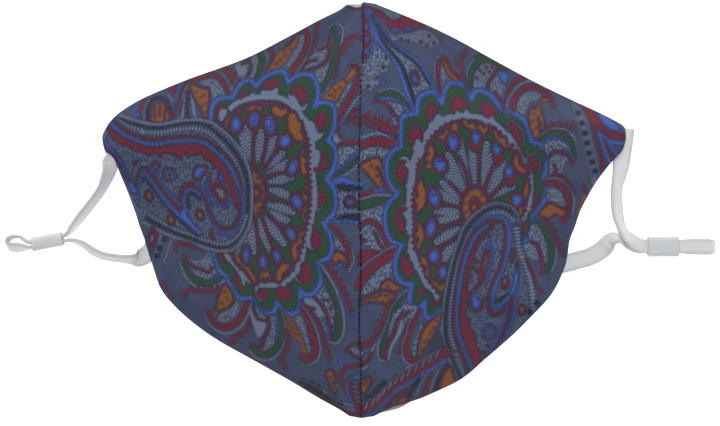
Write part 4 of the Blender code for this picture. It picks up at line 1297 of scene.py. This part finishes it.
blob("ochre", 514, 158, 516, 153, 518, 158, 520, 165, 525, 169, 527, 173, 521, 173, 516, 169, 513, 163)
for shape in (
    (525, 184, 528, 181, 529, 190, 526, 199, 523, 203, 523, 194),
    (518, 206, 522, 206, 523, 211, 520, 216, 517, 213),
    (429, 146, 433, 146, 435, 152, 433, 160, 432, 168, 425, 168, 428, 162, 425, 158, 429, 154, 427, 150),
    (419, 176, 422, 180, 425, 188, 427, 195, 425, 204, 421, 210, 416, 212, 417, 205, 414, 200, 418, 195,
     416, 188, 419, 182),
    (415, 221, 419, 223, 423, 229, 425, 236, 422, 243, 419, 250, 416, 246, 419, 239, 414, 235, 418, 229),
    (421, 257, 425, 257, 428, 264, 429, 272, 428, 279, 425, 273, 426, 267, 421, 263),
    (431, 283, 436, 281, 440, 286, 445, 283, 446, 288, 443, 291, 438, 290, 435, 286),
):
    patch(*shape)
for rib in (
    (468, 184, 464, 167, 461, 148), (475, 184, 474, 166, 472, 150), (482, 184, 485, 166, 486, 149),
    (486, 188, 491, 173, 491, 160), (489, 192, 496, 181, 501, 167), (493, 197, 502, 190, 510, 188),
    (464, 188, 456, 173, 450, 158), (461, 192, 453, 181, 446, 171), (459, 198, 451, 191, 444, 184),
    (459, 203, 449, 199, 441, 193), (459, 211, 450, 212, 440, 211), (459, 216, 449, 219, 441, 220),
    (459, 228, 449, 234, 440, 240), (457, 241, 449, 250, 444, 262),
):
    feather(11, *rib)
for ray in (
    (469, 190, 466, 173, 459, 157), (479, 188, 479, 170, 479, 153), (484, 190, 489, 177, 494, 165),
    (488, 200, 496, 191, 504, 184), (463, 198, 456, 189, 449, 182), (462, 208, 450, 205, 440, 201),
    (462, 221, 450, 224, 440, 230), (460, 236, 449, 243, 437, 249),
):
    stroke("burgundy", 2.8, *ray)
for x, y, wide, high, tilt in (
    (453, 142, 4.5, 7.5, -5), (440, 165, 5, 6.5, -30), (434, 198, 4.4, 8, -15), (431, 228, 4, 8, 10),
    (434, 256, 4.4, 6.5, 5), (443, 272, 3.6, 6, 5), (517, 200, 4.4, 5, 0),
):
    bud(x, y, wide, high, tilt)
oval("burgundy", 476, 141, 7, 11, 0)
oval("blue", 476, 137, 3.6, 6.4, 0)
oval("burgundy", 498, 154, 5.8, 11, 0)
oval("blue", 497, 149, 3.6, 6, 0)
oval("burgundy", 510, 176, 6.6, 10.5, 0)
oval("blue", 509, 171, 3.8, 6, 0)
dots("burgundy", 4, 515, 209)
dots("dark", 1.2, 453, 138, 477, 133, 498, 146, 510, 167, 434, 195, 440, 161)
oval("burgundy", 475, 207, 15.5, 22)
oval("ochre", 475, 207, 12.4, 18.6)
oval("burgundy", 475, 206, 6, 9)
oval("ochre", 474, 207, 2.8, 4)
dots("dark", 0.9, 468, 195, 482, 195, 466, 203, 484, 203, 466, 212)

# upper right, from the flower to the corner
stroke("pale", 1.6, 441, 56, 437, 58, 435, 66, 435, 77, 437, 87, 439, 96)
blob("pale", 442, 64, 445, 70, 447, 77, 444, 84, 441, 88, 440, 76, grain="lace")
stroke("burgundy", (4, 3.6, 3), 444, 59, 439, 61, 438, 68, 438, 77, 439, 86, 441, 94)
stroke("burgundy", 6, 443, 59, 447, 64, 450, 71, 457, 78)
stroke("ochre", (3, 4, 4.4), 443, 61, 446, 66, 449, 73, 456, 79)
stroke("burgundy", 2, 456, 60, 458, 66)
stroke("burgundy", (3, 3, 2.6), 466, 50, 462, 58, 462, 68, 464, 78, 467, 89)
stroke("pale", 1.6, 480, 55, 472, 62, 468, 70, 467, 80, 469, 93)
blob("pale", 479, 66, 488, 63, 496, 66, 502, 71, 506, 80, 503, 92, 498, 97, 490, 88, 482, 88, 474, 88,
     473, 78, grain="lace")
blob("pale", 492, 80, 497, 72, 501, 78, 503, 90, 500, 100, 494, 92, grain="lace")
blob("blue", 498, 72, 503, 70, 508, 76, 506, 84, 502, 82)
dots("burgundy", 1, 480, 70, 486, 67, 492, 67, 477, 78, 484, 74, 489, 72)
stroke("green", (7, 5.5, 4), 504, 67, 493, 60, 484, 59, 476, 65, 471, 74, 470, 88)
stroke("green", 6, 478, 58, 488, 57, 498, 62)
stroke("burgundy", 2.6, 504, 71, 498, 69, 494, 75, 490, 80, 487, 88)
stroke("pale", 2, 492, 90, 498, 98, 504, 109)
stroke("burgundy", 2, 495, 92, 501, 101, 505, 109)
blob("pale", 516, 108, 516, 99, 521, 92, 528, 90, 536, 91, 542, 95, 538, 100, 530, 102, 526, 110, 522, 116,
     grain="lace")
stroke("burgundy", (5, 6, 4), 513, 110, 514, 102, 519, 93, 528, 87, 538, 88, 546, 93, 551, 99, 554, 106)
stroke("burgundy", (5, 3.5, 2.4), 524, 77, 515, 82, 509, 91, 505, 102, 503, 110)
stroke("pale", 2.6, 506, 109, 508, 99, 514, 90, 521, 84, 529, 81, 538, 83, 546, 89)
patch(550, 101, 547, 98, 543, 98, 540, 102, 537, 107, 532, 109, 529, 114, 529, 121, 531, 129, 534, 137,
      537, 138, 541, 132, 544, 128, 544, 120, 541, 113, 541, 106, 545, 102)
dots("dark", 1.2, 534, 114, 538, 120, 533, 121, 537, 128, 541, 124, 536, 110)
stroke("burgundy", 1.4, 538, 117, 540, 125, 540, 132)
stroke("blue", 1.2, 549, 114, 551, 120, 548, 124)
stroke("blue", 1, 556, 116, 557, 120)
fringe("burgundy", 3, 4, 6, 546, 131, 551, 127, 558, 125, 565, 126, 572, 130)
stroke("burgundy", 2, 571, 128, 573, 121)
stroke("pale", 2.2, 537, 140, 545, 132, 553, 128.5, 562, 128.5, 570, 132, 575, 140)
blob("pale", 544, 143, 552, 138, 560, 138, 567, 143, 571, 152, 565, 154, 558, 151, 551, 153, 547, 158,
     grain="lace")
stroke("green", (2, 6, 3), 538, 141, 546, 135, 555, 132.5, 564, 135, 571, 143, 575, 157)
stroke("blue", 1.8, 544, 142, 551, 138, 560, 138, 567, 143)
stroke("blue", 2, 563, 149, 570, 153)
blob("pale", 549, 160, 555, 154, 563, 156, 571, 157, 566, 162, 562, 172, 558, 178, 551, 178, 549, 170,
     grain="lace")
stroke("ochre", 4.4, 585, 196, 582, 204, 579, 214)
stroke("burgundy", (3, 2.6, 3), 547, 160, 552, 153, 557, 151.5, 562, 153, 568, 156, 573, 164)
stroke("burgundy", 2, 554, 165, 556, 172, 552, 176)
stroke("burgundy", 3, 557, 175, 564, 178, 570, 185, 574, 191)
stroke("blue", 1.6, 576, 184, 574, 189)
blob("pale", 548, 187, 556, 187, 562, 193, 565, 201, 565, 210, 558, 206, 550, 204, 546, 196, grain="lace")
stroke("burgundy", (6, 6.5, 5), 545, 184, 553, 182.5, 561, 186, 567, 193, 569, 202, 568, 212, 563, 221)
stroke("pale", 2.4, 545, 179.5, 555, 178.5, 563, 181.5, 570, 189, 574, 200, 572, 214)
patch(539, 214, 543, 209, 548, 204, 553, 204, 558, 207, 564, 210, 566, 214, 561, 217, 556, 214, 552, 216,
      548, 220, 543, 219)
stroke("burgundy", 2.4, 584, 186, 588, 196, 583, 206)
stroke("burgundy", 5, 590, 104, 597, 106)
blob("mist", 572, 100, 582, 104, 590, 125, 595, 150, 600, 172, 600, 182, 592, 186, 586, 160, 580, 130,
     572, 108)
stroke("pale", 2, 572, 103, 577, 118, 581, 135, 586, 155, 591, 176)
stroke("pale", 2, 578, 103, 586, 117, 590, 134, 595, 156, 600, 180)
dots("dark", 2.1, 578, 113, 582, 123, 585, 133, 587, 143, 589, 153, 592, 162, 595, 171)
stroke("burgundy", (5, 5, 4), 583, 104, 589, 115, 595, 130, 599, 146, 602, 160, 604, 176)
stroke("pale", 1, 591, 122, 597, 142, 600, 160)
blob("blue", 598, 112, 606, 117, 614, 122, 620, 128, 612, 130, 606, 126, 600, 119)
stroke("burgundy", (6, 7, 7), 588, 106, 596, 117, 602, 127, 609, 133, 617, 137, 626, 138)
stroke("pale", 1.6, 616, 121, 622, 127, 626, 132)
stroke("blue", (2, 3, 4), 598, 131, 604, 137, 611, 141, 618, 143, 627, 143)
stroke("blue", 3.4, 599, 134, 603, 145, 606, 154, 611, 164)
stroke("burgundy", 3, 605, 141, 609, 150, 614, 159)
stroke("blue", 2.6, 608, 141, 613, 149, 618, 156)

# right paisley
blob("mist", 443, 310, 445, 290, 449, 268, 455, 247, 462, 228, 470, 217, 480, 209, 492, 203, 503, 203,
     513, 207, 520, 216, 522, 230, 521, 242, 526, 256, 531, 275, 534, 295, 536, 318, 540, 330, 500, 370,
     470, 390, 456, 384, 450, 362, 444, 347, 441, 330, grain="lace")
stroke("pale", 2.8, 457, 382, 450, 362, 445, 348, 442, 332, 443, 310, 446, 288, 450, 268, 456, 247, 463, 228,
       471, 217, 481, 209, 492, 203.5, 503, 203.5, 513, 208, 519, 216)
stroke("dark", 1.8, 461, 378, 454, 362, 448.5, 348, 445.5, 332, 446.5, 310, 449.5, 288, 453.5, 268,
       459.5, 248, 466, 231, 474, 220, 483, 213, 493, 207.5, 503, 208, 512, 213)
rope(5, 3.2, 456, 350, 451, 335, 450.5, 312, 453, 290, 457, 270, 463, 250, 470, 234, 478, 223, 487, 215,
     496, 212, 505, 213, 513, 220)
rope(6.4, 3.6, 516, 226, 518, 240, 520, 252, 525, 264, 530, 280, 532.5, 295, 533, 312)
stroke("blue", (2.4, 4, 4), 474, 227, 482, 220, 490, 217, 499, 217, 506, 221, 509, 231, 509, 245, 506, 258,
       502, 270, 497, 282, 493, 294)
stroke("burgundy", 2.8, 468, 374, 463, 358, 457.5, 344, 453.5, 330, 453.5, 312, 456, 290, 459.5, 270,
       464, 252, 470, 238, 477, 228, 485, 222, 490, 221)
stroke("blue", 3.2, 472, 368, 467, 356, 461.5, 343, 457.5, 330, 457, 312, 459, 291, 462.5, 270, 467, 254,
       473, 240, 480, 231, 487, 226)
blob("burgundy", 476, 368, 470, 357, 465, 344, 460, 330, 459.5, 312, 461.5, 292, 465, 272, 469.5, 255,
     475, 242, 482, 233, 489, 228, 495, 228, 489, 232, 483, 238, 478, 246, 474, 256, 471, 266, 469, 275,
     472, 276, 468, 282, 467, 290, 471, 297, 466, 300, 467, 308, 466, 318, 470, 318, 470, 330, 474, 331,
     476, 340, 476, 348, 480, 350, 481, 363)
stroke("burgundy", 3, 491, 225, 497, 221, 503, 223, 506, 232, 505, 246, 503, 258, 499, 270, 494, 281,
       490, 292, 488, 303, 490, 311, 495, 315, 501, 312, 507, 306, 512, 296)
stroke("blue", (3, 3.4, 5), 501, 273, 496, 284, 493, 296, 493, 305, 498, 307, 505, 301, 511, 294, 515, 284,
       517, 272)
stroke("dark", 2.2, 494, 302, 500, 300, 506, 296)
stroke("dark", 1.4, 517, 262, 517.5, 272)
stroke("blue", 2.4, 484, 248, 488, 245, 492, 250, 491, 262, 488, 273, 486, 283)
blob("burgundy", 474, 289, 478, 283, 480, 270, 482, 258, 487, 249, 491, 257, 488, 267, 485, 277, 480, 286)
blob("pale", 484, 262, 487, 255, 486, 265, 484, 272)
dots("burgundy", 1.7, 476, 261, 472, 268, 477, 271, 489, 237)
dots("blue", 1.6, 474.5, 265, 489, 240)
stroke("burgundy", 1.8, 471, 292, 470, 303, 474, 311, 481, 309, 483, 300)
blob("blue", 473, 292, 477, 298, 480, 300, 479, 307, 475, 309, 472, 303)
oval("burgundy", 505, 283, 3.4, 6, 8)
oval("ochre", 505, 281.5, 2.6, 4, 8)
oval("burgundy", 522, 310, 3.8, 5, 10)
oval("ochre", 522, 309.5, 2.9, 3.8, 10)
stroke("burgundy", 1.6, 513, 249, 511, 256, 512, 262, 515, 256, 513.5, 249)
stroke("blue", 2.6, 517, 284, 516, 300, 514, 314, 510, 327, 505, 339, 497, 351)
stroke("burgundy", 3, 512, 296, 511, 307, 508.5, 320, 504, 332, 499, 343, 492, 355)
stroke("blue", 2.4, 507, 307, 505, 319, 501, 330, 495, 342, 488, 354)
dots("blue", 7, 489, 332)
dots("mist", 4.8, 489, 332)
dots("burgundy", 1.9, 489, 326, 494.5, 329, 493.5, 336, 488.5, 338.5, 484, 336, 484, 330)
dots("blue", 1.6, 489, 332)
dots("burgundy", 1.6, 484, 352, 488, 346, 490, 352, 486, 357)

# right of the right paisley
blob("pale", 533, 222, 539, 228, 544, 238, 547, 250, 547, 264, 543, 257, 540, 248, 535, 241, 529, 240,
     528, 232, grain="lace")
blob("pale", 523, 244, 531, 242, 537, 247, 540, 257, 536, 260, 530, 258, 525, 252, grain="lace")
stroke("burgundy", 3, 532, 242, 537, 245, 540, 253, 542, 262, 544, 268, 541, 274)
stroke("pale", 2, 535, 215, 543, 220, 550, 229, 555, 242, 556, 257, 552, 271)
stroke("green", (2, 6, 4), 533, 219, 541, 225, 547, 234, 551, 246, 551, 259, 547, 271)
fringe("burgundy", 3.4, 3, 7, 543, 218, 549, 226, 554, 235, 558, 246, 563, 255)
stroke("burgundy", 3, 526, 260, 530, 268, 534, 277, 537, 287, 541, 291)
stroke("pale", 2, 523, 257, 528, 270, 531, 283, 533, 297, 535, 314)
dots("dark", 2.6, 537, 303, 530, 312)

# between the left flower and the seam, below
blob("pale", 315, 297, 322, 288, 327, 286, 332, 298, 336, 310, 336, 322, 332, 334, 328, 330, 325, 318,
     320, 306, grain="lace")
dots("burgundy", 1.1, 328, 300, 331, 308, 333, 318, 324, 300, 333, 326)
blob("pale", 303, 299, 312, 298, 320, 306, 325, 317, 328, 328, 330, 335, 325, 331, 321, 322, 313, 315,
     305, 308)
stroke("blue", 2, 322, 318, 327, 326, 329, 334)
stroke("burgundy", 2.2, 315, 298, 322, 305, 327, 315, 330, 326, 332, 335)
stroke("pale", 2.4, 320, 264, 329, 277, 336, 290, 342, 306, 344, 320, 343, 334, 337, 343, 329, 341)
blob("green", 320, 268, 328, 280, 334, 292, 339, 307, 341, 320, 341, 332, 337, 340, 330, 340, 334, 333,
     335, 322, 335, 309, 331, 298, 326, 286)
fringe("burgundy", 3, 4, 8, 327, 264, 332, 273, 338, 283, 343, 292, 347, 303, 349, 312)
stroke("blue", 1.6, 340, 296, 345, 306, 348, 316)
stroke("blue", 2, 357, 312, 356, 328)
blob("pale", 296, 316, 302, 318, 306, 328, 308, 338, 311, 351, 307, 352, 304, 342, 300, 332, 296, 322,
     grain="lace")
blob("ochre", 279, 309, 287, 315, 293, 320, 297, 328, 302, 337, 305, 345, 307, 352, 305, 358, 302, 352,
     302, 345, 298, 340, 291, 335, 286, 328, 282, 318)
for x, y in ((288, 320), (292, 327), (294, 333)):
    stroke("dark", 0.9, x - 3, y - 3, x, y, x + 4, y + 2)
stroke("burgundy", 3, 301, 301, 306, 307, 314, 309)
stroke("burgundy", (4, 7, 7), 301, 308, 307, 318, 311, 329, 314, 341, 315, 351, 310, 359, 303, 357)
stroke("pale", 2.4, 302, 305, 309, 315, 315, 327, 319, 340, 320, 351, 317, 360, 309, 365)
fringe("burgundy", 2.6, 3, 4.5, 309, 311, 316, 320, 321, 331, 324, 343, 329, 360)
blob("pale", 252, 300, 258, 308, 266, 315, 276, 315, 278, 324, 278, 338, 272, 347, 262, 351, 261, 343,
     266, 333, 264, 324, 258, 318, 253, 310, grain="lace")
blob("pale", 251, 309, 259, 318, 266, 322, 264, 332, 258, 338, 254, 328, 250, 318)
stroke("burgundy", 2, 253, 306, 257, 318, 266, 321)
stroke("burgundy", 3, 268, 317, 269, 326, 266, 334, 263, 341, 261, 347, 253, 345)
stroke("blue", 2, 277, 317, 278, 330, 277, 341)
stroke("pale", 2.4, 281, 308, 285, 325, 285, 338, 281, 350, 273, 358, 263, 360, 253, 355, 250, 346)
stroke("green", (3, 6, 5), 279, 309, 281, 322, 281, 336, 277, 347, 269, 354, 260, 354, 252, 346)
fringe("burgundy", 2.4, 4, 4.5, 285, 330, 287, 342, 284, 351, 280, 360, 285, 369)
patch(330, 370, 334, 374, 336, 380, 332, 384, 337, 390, 334, 392, 330, 386, 328, 380, 325, 375)
stroke("dark", 1, 327, 376, 331, 378, 334, 377)
stroke("blue", 2, 318, 377, 325, 379)
stroke("blue", 1.6, 338, 356, 340, 362, 343, 367)
stroke("burgundy", 3, 362, 364, 352, 366, 345, 368, 341, 375, 342, 384, 348, 394)
rope(7, 3, 348, 350, 355, 351, 362, 356)
stroke("burgundy", 2, 346, 351, 351, 345, 358, 344, 362, 347)
stroke("burgundy", 2, 349, 352, 355, 356, 362, 360)
stroke("blue", 2, 346, 355, 351, 358)
dots("dark", 2.8, 302, 381, 308, 386, 314, 390, 320, 393, 327, 397, 333, 400, 311, 384, 318, 388, 340, 404)
stroke("pale", 2, 298, 379, 312, 384, 322, 390, 334, 399, 346, 404, 357, 406)
rope(4, 3.4, 334, 404, 345, 409, 356, 411)
stroke("burgundy", 2.4, 316, 395, 328, 402, 340, 409, 350, 413.5, 361, 417)
stroke("blue", 2.6, 361, 377, 351, 379, 347, 387, 349, 397, 355, 404, 362, 408)
stroke("burgundy", 8, 352, 383, 353, 393, 357, 401, 361, 406)
for x, y in ((354, 382), (354.5, 387), (355.5, 392), (357, 397), (359, 402)):
    stroke("pale", 2.4, x - 2, y - 1, x + 2.5, y + 1)

# between the seam and the right paisley, below
blob("pale", 390, 318, 398, 308, 408, 304, 418, 306, 413, 318, 405, 328, 398, 338, 392, 340, 388, 350,
     386, 345, 388, 330, grain="lace")
stroke("pale", 4, 402, 326, 396, 338, 391, 347, 388, 358)
stroke("burgundy", (2, 3.6, 3.4), 403, 313, 397, 322, 394, 333, 389, 341, 386, 350, 385, 359)
stroke("burgundy", 2, 409, 311, 401, 318)
blob("pale", 422, 322, 417, 333, 413, 346, 413, 356, 417, 354, 419, 343, 422, 332, grain="lace")
stroke("burgundy", 3, 410, 320, 405, 331, 402, 344, 399, 353)
stroke("burgundy", (3, 6, 7), 420, 310, 414, 322, 409, 334, 406, 346, 408, 356, 414, 361, 421, 358)
stroke("pale", 2.4, 417, 308, 410, 321, 406, 334, 402, 347, 404, 359, 412, 365, 423, 362)
patch(441, 313, 440, 322, 434, 334, 428, 344, 423, 352, 420, 357, 418, 350, 420, 340, 423, 331, 429, 323,
      436, 317)
dots("dark", 1.2, 430, 333, 425, 342, 434, 328, 422, 349, 437, 321, 429, 340)
blob("mist", 425, 357, 430, 346, 438, 332, 442, 336, 445, 348, 448, 356, 440, 352, grain="ticks")
stroke("pale", 2, 361, 360, 369, 356, 374, 346, 378, 337)
stroke("burgundy", 3, 360, 366, 367, 362, 371, 354)
stroke("pale", 3, 361, 370, 367, 366)
patch(361, 380, 370, 379, 370, 384, 367, 388, 366, 392, 361, 392)
dots("dark", 1.6, 364, 384, 366, 381)
dots("dark", 2.8, 367, 398, 372, 396, 376, 391, 380, 387, 368, 403, 374, 401, 384, 383, 397, 377, 404, 372)
stroke("pale", 1.6, 363, 396, 370, 400, 379, 394, 385, 386)
stroke("pale", 2, 361, 405, 373, 401, 384, 391, 392, 381, 402, 371, 414, 364, 426, 357, 441, 349)
stroke("burgundy", 10.5, 361, 409.5, 372, 405.5, 380, 399, 388, 390, 398, 382, 409, 375, 421, 368, 433, 360,
       446, 352)
for x, y in (
    (366, 407), (373, 403), (379, 398), (384, 391.5), (390, 386), (396, 381), (402.5, 377), (409, 372.5),
    (416, 368.5), (423, 364), (430, 359.5), (437, 355),
):
    stroke("pale", 3, x - 1.4, y + 2.8, x + 1.4, y - 3.4)
stroke("pale", 1.8, 361, 404, 372, 400, 382, 391, 391, 381, 401, 373, 412, 366.5, 424, 359.5, 436, 352,
       442, 348)
stroke("blue", 2.6, 366, 417, 379, 409, 387, 400, 396, 391, 406, 385, 418, 378, 430, 370, 445, 360)
for line in ((406, 402, 412, 389, 419, 379), (436, 390, 441, 376, 448, 366)):
    stroke("dark", 5, *line)
for line in ((388, 407, 392, 398, 398, 394), (404, 394, 410, 388), (423, 397, 427, 384, 431, 375)):
    stroke("burgundy", 4, *line)
for line in ((396, 402, 402, 394), (416, 396, 421, 382, 427, 375), (430, 392, 434, 380, 440, 370)):
    stroke("pale", 2.6, *line, grain="ticks")
patch(398, 402, 402, 397, 406, 398, 404, 404)
patch(440, 388, 444, 375, 450, 367, 453, 375, 455, 384, 447, 389)
stroke("burgundy", 1.6, 350, 8, 358, 8, 364, 9)

print("print drawn on", len(spots), "points")

printInks = {
    "base": rgb(71, 80, 113), "baseLight": rgb(92, 103, 140), "mist": rgb(104, 118, 150),
    "pale": rgb(128, 142, 173), "dark": rgb(36, 40, 66), "green": rgb(46, 84, 48), "ochre": rgb(162, 96, 28),
    "burgundy": rgb(130, 35, 55), "blue": rgb(76, 114, 212), "line": rgb(28, 30, 50),
    "thread": rgb(132, 140, 166),
    "ragged": 2.4,  # how far the weave breaks up the edge of a colour, in chart squares
    "laceScale": 0.66,  # cells of the lace per millimetre
    "weavePitch": 0.42,  # from thread to thread, in millimetres
    "rowPitch": 0.74, "rowSlant": 0.3,  # the thread rows that show
    "comb": 0.85,  # how far the rows comb the edge of a colour, in chart squares
    "seamAt": 1.4, "stitch": 2.1,  # the seam's place across the cloth and its stitch, in millimetres
}


def printFinish():
    paint = Shader("printed cotton", Specular_IOR_Level=0.12)
    place = paint.attribute("cloth", "Vector")
    parts = paint.node("ShaderNodeSeparateXYZ", {}, {0: place})
    across, along = parts, Signal(paint, parts.socket.node.outputs[1])
    crumb = paint.noise(place, 1.7, 3.0, 0.65)
    rows = ((along + across * printInks["rowSlant"]) * (math.tau / printInks["rowPitch"])).sine()
    ragged = (crumb - 0.5) * (2 * printInks["ragged"]) + rows * printInks["comb"]
    cloud = paint.noise(place, 0.09, 3.0)
    colour = paint.mix((cloud * 1.6 - 0.45).clamped(), printInks["base"], printInks["baseLight"])
    nearest = None
    for name in inkNames:
        distance = paint.attribute(name) + ragged
        colour = paint.mix((0.5 - distance * 0.9).clamped(), colour, printInks[name])
        away = abs(distance - 0.35)
        nearest = away if nearest is None else nearest.least(away)
    cells = paint.node("ShaderNodeTexVoronoi", {"feature": "DISTANCE_TO_EDGE"},
                       {"Vector": place, "Scale": printInks["laceScale"], "Randomness": 0.9})
    broken = (paint.noise(place, 0.95, 2.0) * 7.0 - 2.7).clamped()
    lace = (0.5 - paint.attribute("lace")).clamped() * (1.5 - cells * 7.0).clamped() * broken
    tickLines = ((0.42 - paint.attribute("tickPhase").fraction()) * 6.0 + 0.5).clamped()
    ticks = (0.5 - paint.attribute("ticks")).clamped() * tickLines
    colour = paint.mix(lace.most(ticks) * 0.72, colour, printInks["line"])
    colour = paint.mix((1.0 - nearest / 0.95).clamped() * 0.75, colour, printInks["line"])
    turn = math.tau / printInks["weavePitch"]
    weave = (across * turn).sine() * (along * turn).sine()
    heather = paint.noise(paint.stretch(place, (1.0, 1.7, 1.0)), 1.9, 2.0, 0.7)
    colour = paint.mix((heather * 5.0 - 2.4).clamped() * 0.42, colour, printInks["thread"])
    colour = paint.mix((2.3 - heather * 5.0).clamped() * 0.55, colour, printInks["line"])
    colour = paint.mix((rows * 0.5 + 0.2).clamped() * 0.36, colour, printInks["line"])
    # a dark line down the seam: partly painted shade in the seam's groove, partly the dark stitches, broken
    # at the stitch pitch
    seam = (1.5 - abs(across - printInks["seamAt"]) / 0.3).clamped()
    pull = ((along * (math.tau / printInks["stitch"])).sine() * 0.6 + 0.85).clamped()
    colour = paint.mix(seam * pull * 0.95, colour, printInks["line"])
    normal = paint.bump(weave * 0.5 + heather, 0.8, 0.00025)
    return paint.finish(Base_Color=colour, Roughness=0.84 + crumb * 0.12, Normal=normal)


printedCotton = printFinish()
panels = {}
firstSpot = 0
for sideName, side in sides.items():
    grid = panelGrids[sideName]
    sheet = gridMesh(f"outer_panel_{sideName}_print", grid, printedCotton)
    count = grid.shape[0] * grid.shape[1]
    for name, values in list(ink.items()) + [("tickPhase", tickPhase)]:
        addAttribute(sheet, name, values[firstSpot:firstSpot + count])
    firstSpot += count
    faceOutward(sheet, side["way"] < 0)
    addAttribute(sheet, "cloth", clothLengths(grid), "FLOAT_VECTOR")
    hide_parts(f"outer_panel_{sideName}")
    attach(sheet, "root")
    panels[sideName] = (sheet, grid)
    area = quadArea(grid)
    print("panel", sideName, len(sheet.data.polygons), "quads,", round(area * 1e4, 1), "cm2")

# lining
lining = {
    "depth": 0.00135, "thick": 0.0008, "rows": 150, "columns": 70, "soften": 2,
    "clear": 0.00006, "seamGap": 0.0001,  # gaps to the table and to the middle of the seam
    # station and how far the lining shows past the outer panel, in millimetres
    "left": [(0.0, -1.2), (0.40, -1.1), (0.42, 0.3), (0.52, 0.5), (0.60, 0.6), (0.64, -1.0), (0.955, -1.0),
             (0.975, 1.0), (1.0, 2.2)],
    "right": [(0.0, 0.0), (0.010, 1.2), (0.020, 2.2), (0.028, 1.6), (0.036, 0.2), (0.075, -0.5),
              (0.12, -1.0), (1.0, -1.1)],
    # station and how far the edge is moved towards the chin, in millimetres
    "drop": {
        "left": [(0.0, 0.0), (1.0, 0.0)],
        "right": [(0.0, 0.2), (0.01, 1.3), (0.019, 1.9), (0.025, 1.7), (0.032, 1.1), (0.04, 0.2), (1.0, 0.0)],
    },
    "dropSlope": 0.9,  # how far it goes down for each step of that
    "ends": {"left": (-1.5, 0.4), "right": (-1.0, -1.5)},  # past the chin and the nose, in millimetres
    "noseFall": 130.0,  # how fast the lining's edge falls away from the seam at the nose
    "shortSlope": 0.004,  # rows shorter than this show less of the lining, in metres
    # where each change sets in or ends, as shares and stations
    "fades": {"past": (0.6, 1.0), "drop": (0.4, 1.0), "chin": (0.0, 0.05), "nose": (0.95, 1.0)},
    "weave": 0.5,  # from thread to thread, in millimetres
    # the chin colour is painted shade for the end of the lining that faces away from the light
    "shade": rgb(196, 178, 158), "light": rgb(226, 212, 196), "chinPaintedShade": rgb(140, 116, 102),
}


def liningGrid(sideName):
    side, fades = sides[sideName], lining["fades"]
    chin, nose = lining["ends"][sideName]
    station, share = np.linspace(0, 1, lining["rows"]), np.linspace(0, 1, lining["columns"])
    points = blurRows(facePoint(side, station[:, None], share[None, :]), lining["soften"])
    across, along, normal = gridFrame(points)
    fromSeam = np.abs(points[..., 0] - points[:, :1, 0])
    border = np.minimum(fromSeam, np.linalg.norm(points - points[:, -1:], axis=-1))
    points = points + normal * (dentLift(points) * ease(border, *panel["fades"]["dents"]))[..., None]
    past = np.interp(station, *np.array(lining[sideName]).T)[:, None] * mm
    slopeLong = np.linalg.norm(np.diff(points, axis=1), axis=-1).sum(axis=1)[:, None]
    full = np.minimum(1, slopeLong / lining["shortSlope"])
    points = points + across * (past * ease(share[None, :], *fades["past"]) * full)[..., None]
    ends = -chin * (1 - ease(station, *fades["chin"])) + nose * ease(station, *fades["nose"])
    fall = lining["noseFall"] * fromSeam**2 * ease(station, *fades["nose"])[:, None]
    points = points + along * (ends[:, None] * mm - fall)[..., None]
    drop = np.interp(station, *np.array(lining["drop"][sideName]).T)[:, None] * mm
    drop = drop * ease(share[None, :], *fades["drop"])
    points = points - np.stack([0 * drop, drop, drop * lining["dropSlope"]], axis=-1)
    top, low = points - normal * lining["depth"], points - normal * (lining["depth"] + lining["thick"])
    seamPlane = seamLine(station)[:, None] + side["way"] * lining["seamGap"]
    for layer in (top, low):
        layer[..., 0] = side["way"] * np.maximum(side["way"] * layer[..., 0], side["way"] * seamPlane)
        layer[..., 2] = np.maximum(layer[..., 2], lining["clear"])
    edge = (top[:, -1:] + low[:, -1:]) / 2 + across[:, -1:] * lining["thick"] * 0.3
    edge[..., 2] = np.maximum(edge[..., 2], lining["clear"])
    return np.concatenate([top, edge, low[:, ::-1]], axis=1)


def liningFinish():
    paint = Shader("lining cotton", Roughness=0.92, Sheen_Weight=0.2)
    place = paint.attribute("cloth", "Vector")
    parts = paint.node("ShaderNodeSeparateXYZ", {}, {0: place})
    along, side = parts, Signal(paint, parts.socket.node.outputs[1])
    turn = math.tau / lining["weave"]
    weave = (along * turn).sine() * (side * turn).sine()
    cloud = paint.noise(place, 0.35, 3.0)
    colour = paint.mix((cloud * 0.8 + weave * 0.08 + 0.1).clamped(), lining["shade"], lining["light"])
    colour = paint.mix((-5.0 - side * 0.1).clamped() * 0.8, colour, lining["chinPaintedShade"])  # painted shade: darker at the chin, where the lining faces away from the light
    return paint.finish(Base_Color=colour, Normal=paint.bump(weave, 0.4, 0.0001))


liningCotton = liningFinish()
flatSize = (0.125, 0.150)  # the rectangle that each curved sheet is taken to be cut from
for sideName in sides:
    grid = liningGrid(sideName)
    inner = gridMesh(f"lining_{sideName}_cotton", grid, liningCotton, closed=True)
    mesh = bmesh.new()
    mesh.from_mesh(inner.data)
    bmesh.ops.recalc_face_normals(mesh, faces=mesh.faces[:])
    mesh.to_mesh(inner.data)
    mesh.free()
    addAttribute(inner, "cloth", clothLengths(grid), "FLOAT_VECTOR")
    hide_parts(f"lining_{sideName}")
    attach(inner, "root")
    sheet, outer = panels[sideName]
    min(quadArea(outer), 0.99 * flatSize[0] * flatSize[1])
    min(quadArea(grid) / 2, 0.99 * flatSize[0] * flatSize[1])
    print("lining", sideName, round(quadArea(grid) / 2 * 1e4, 1), "cm2")

low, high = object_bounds()
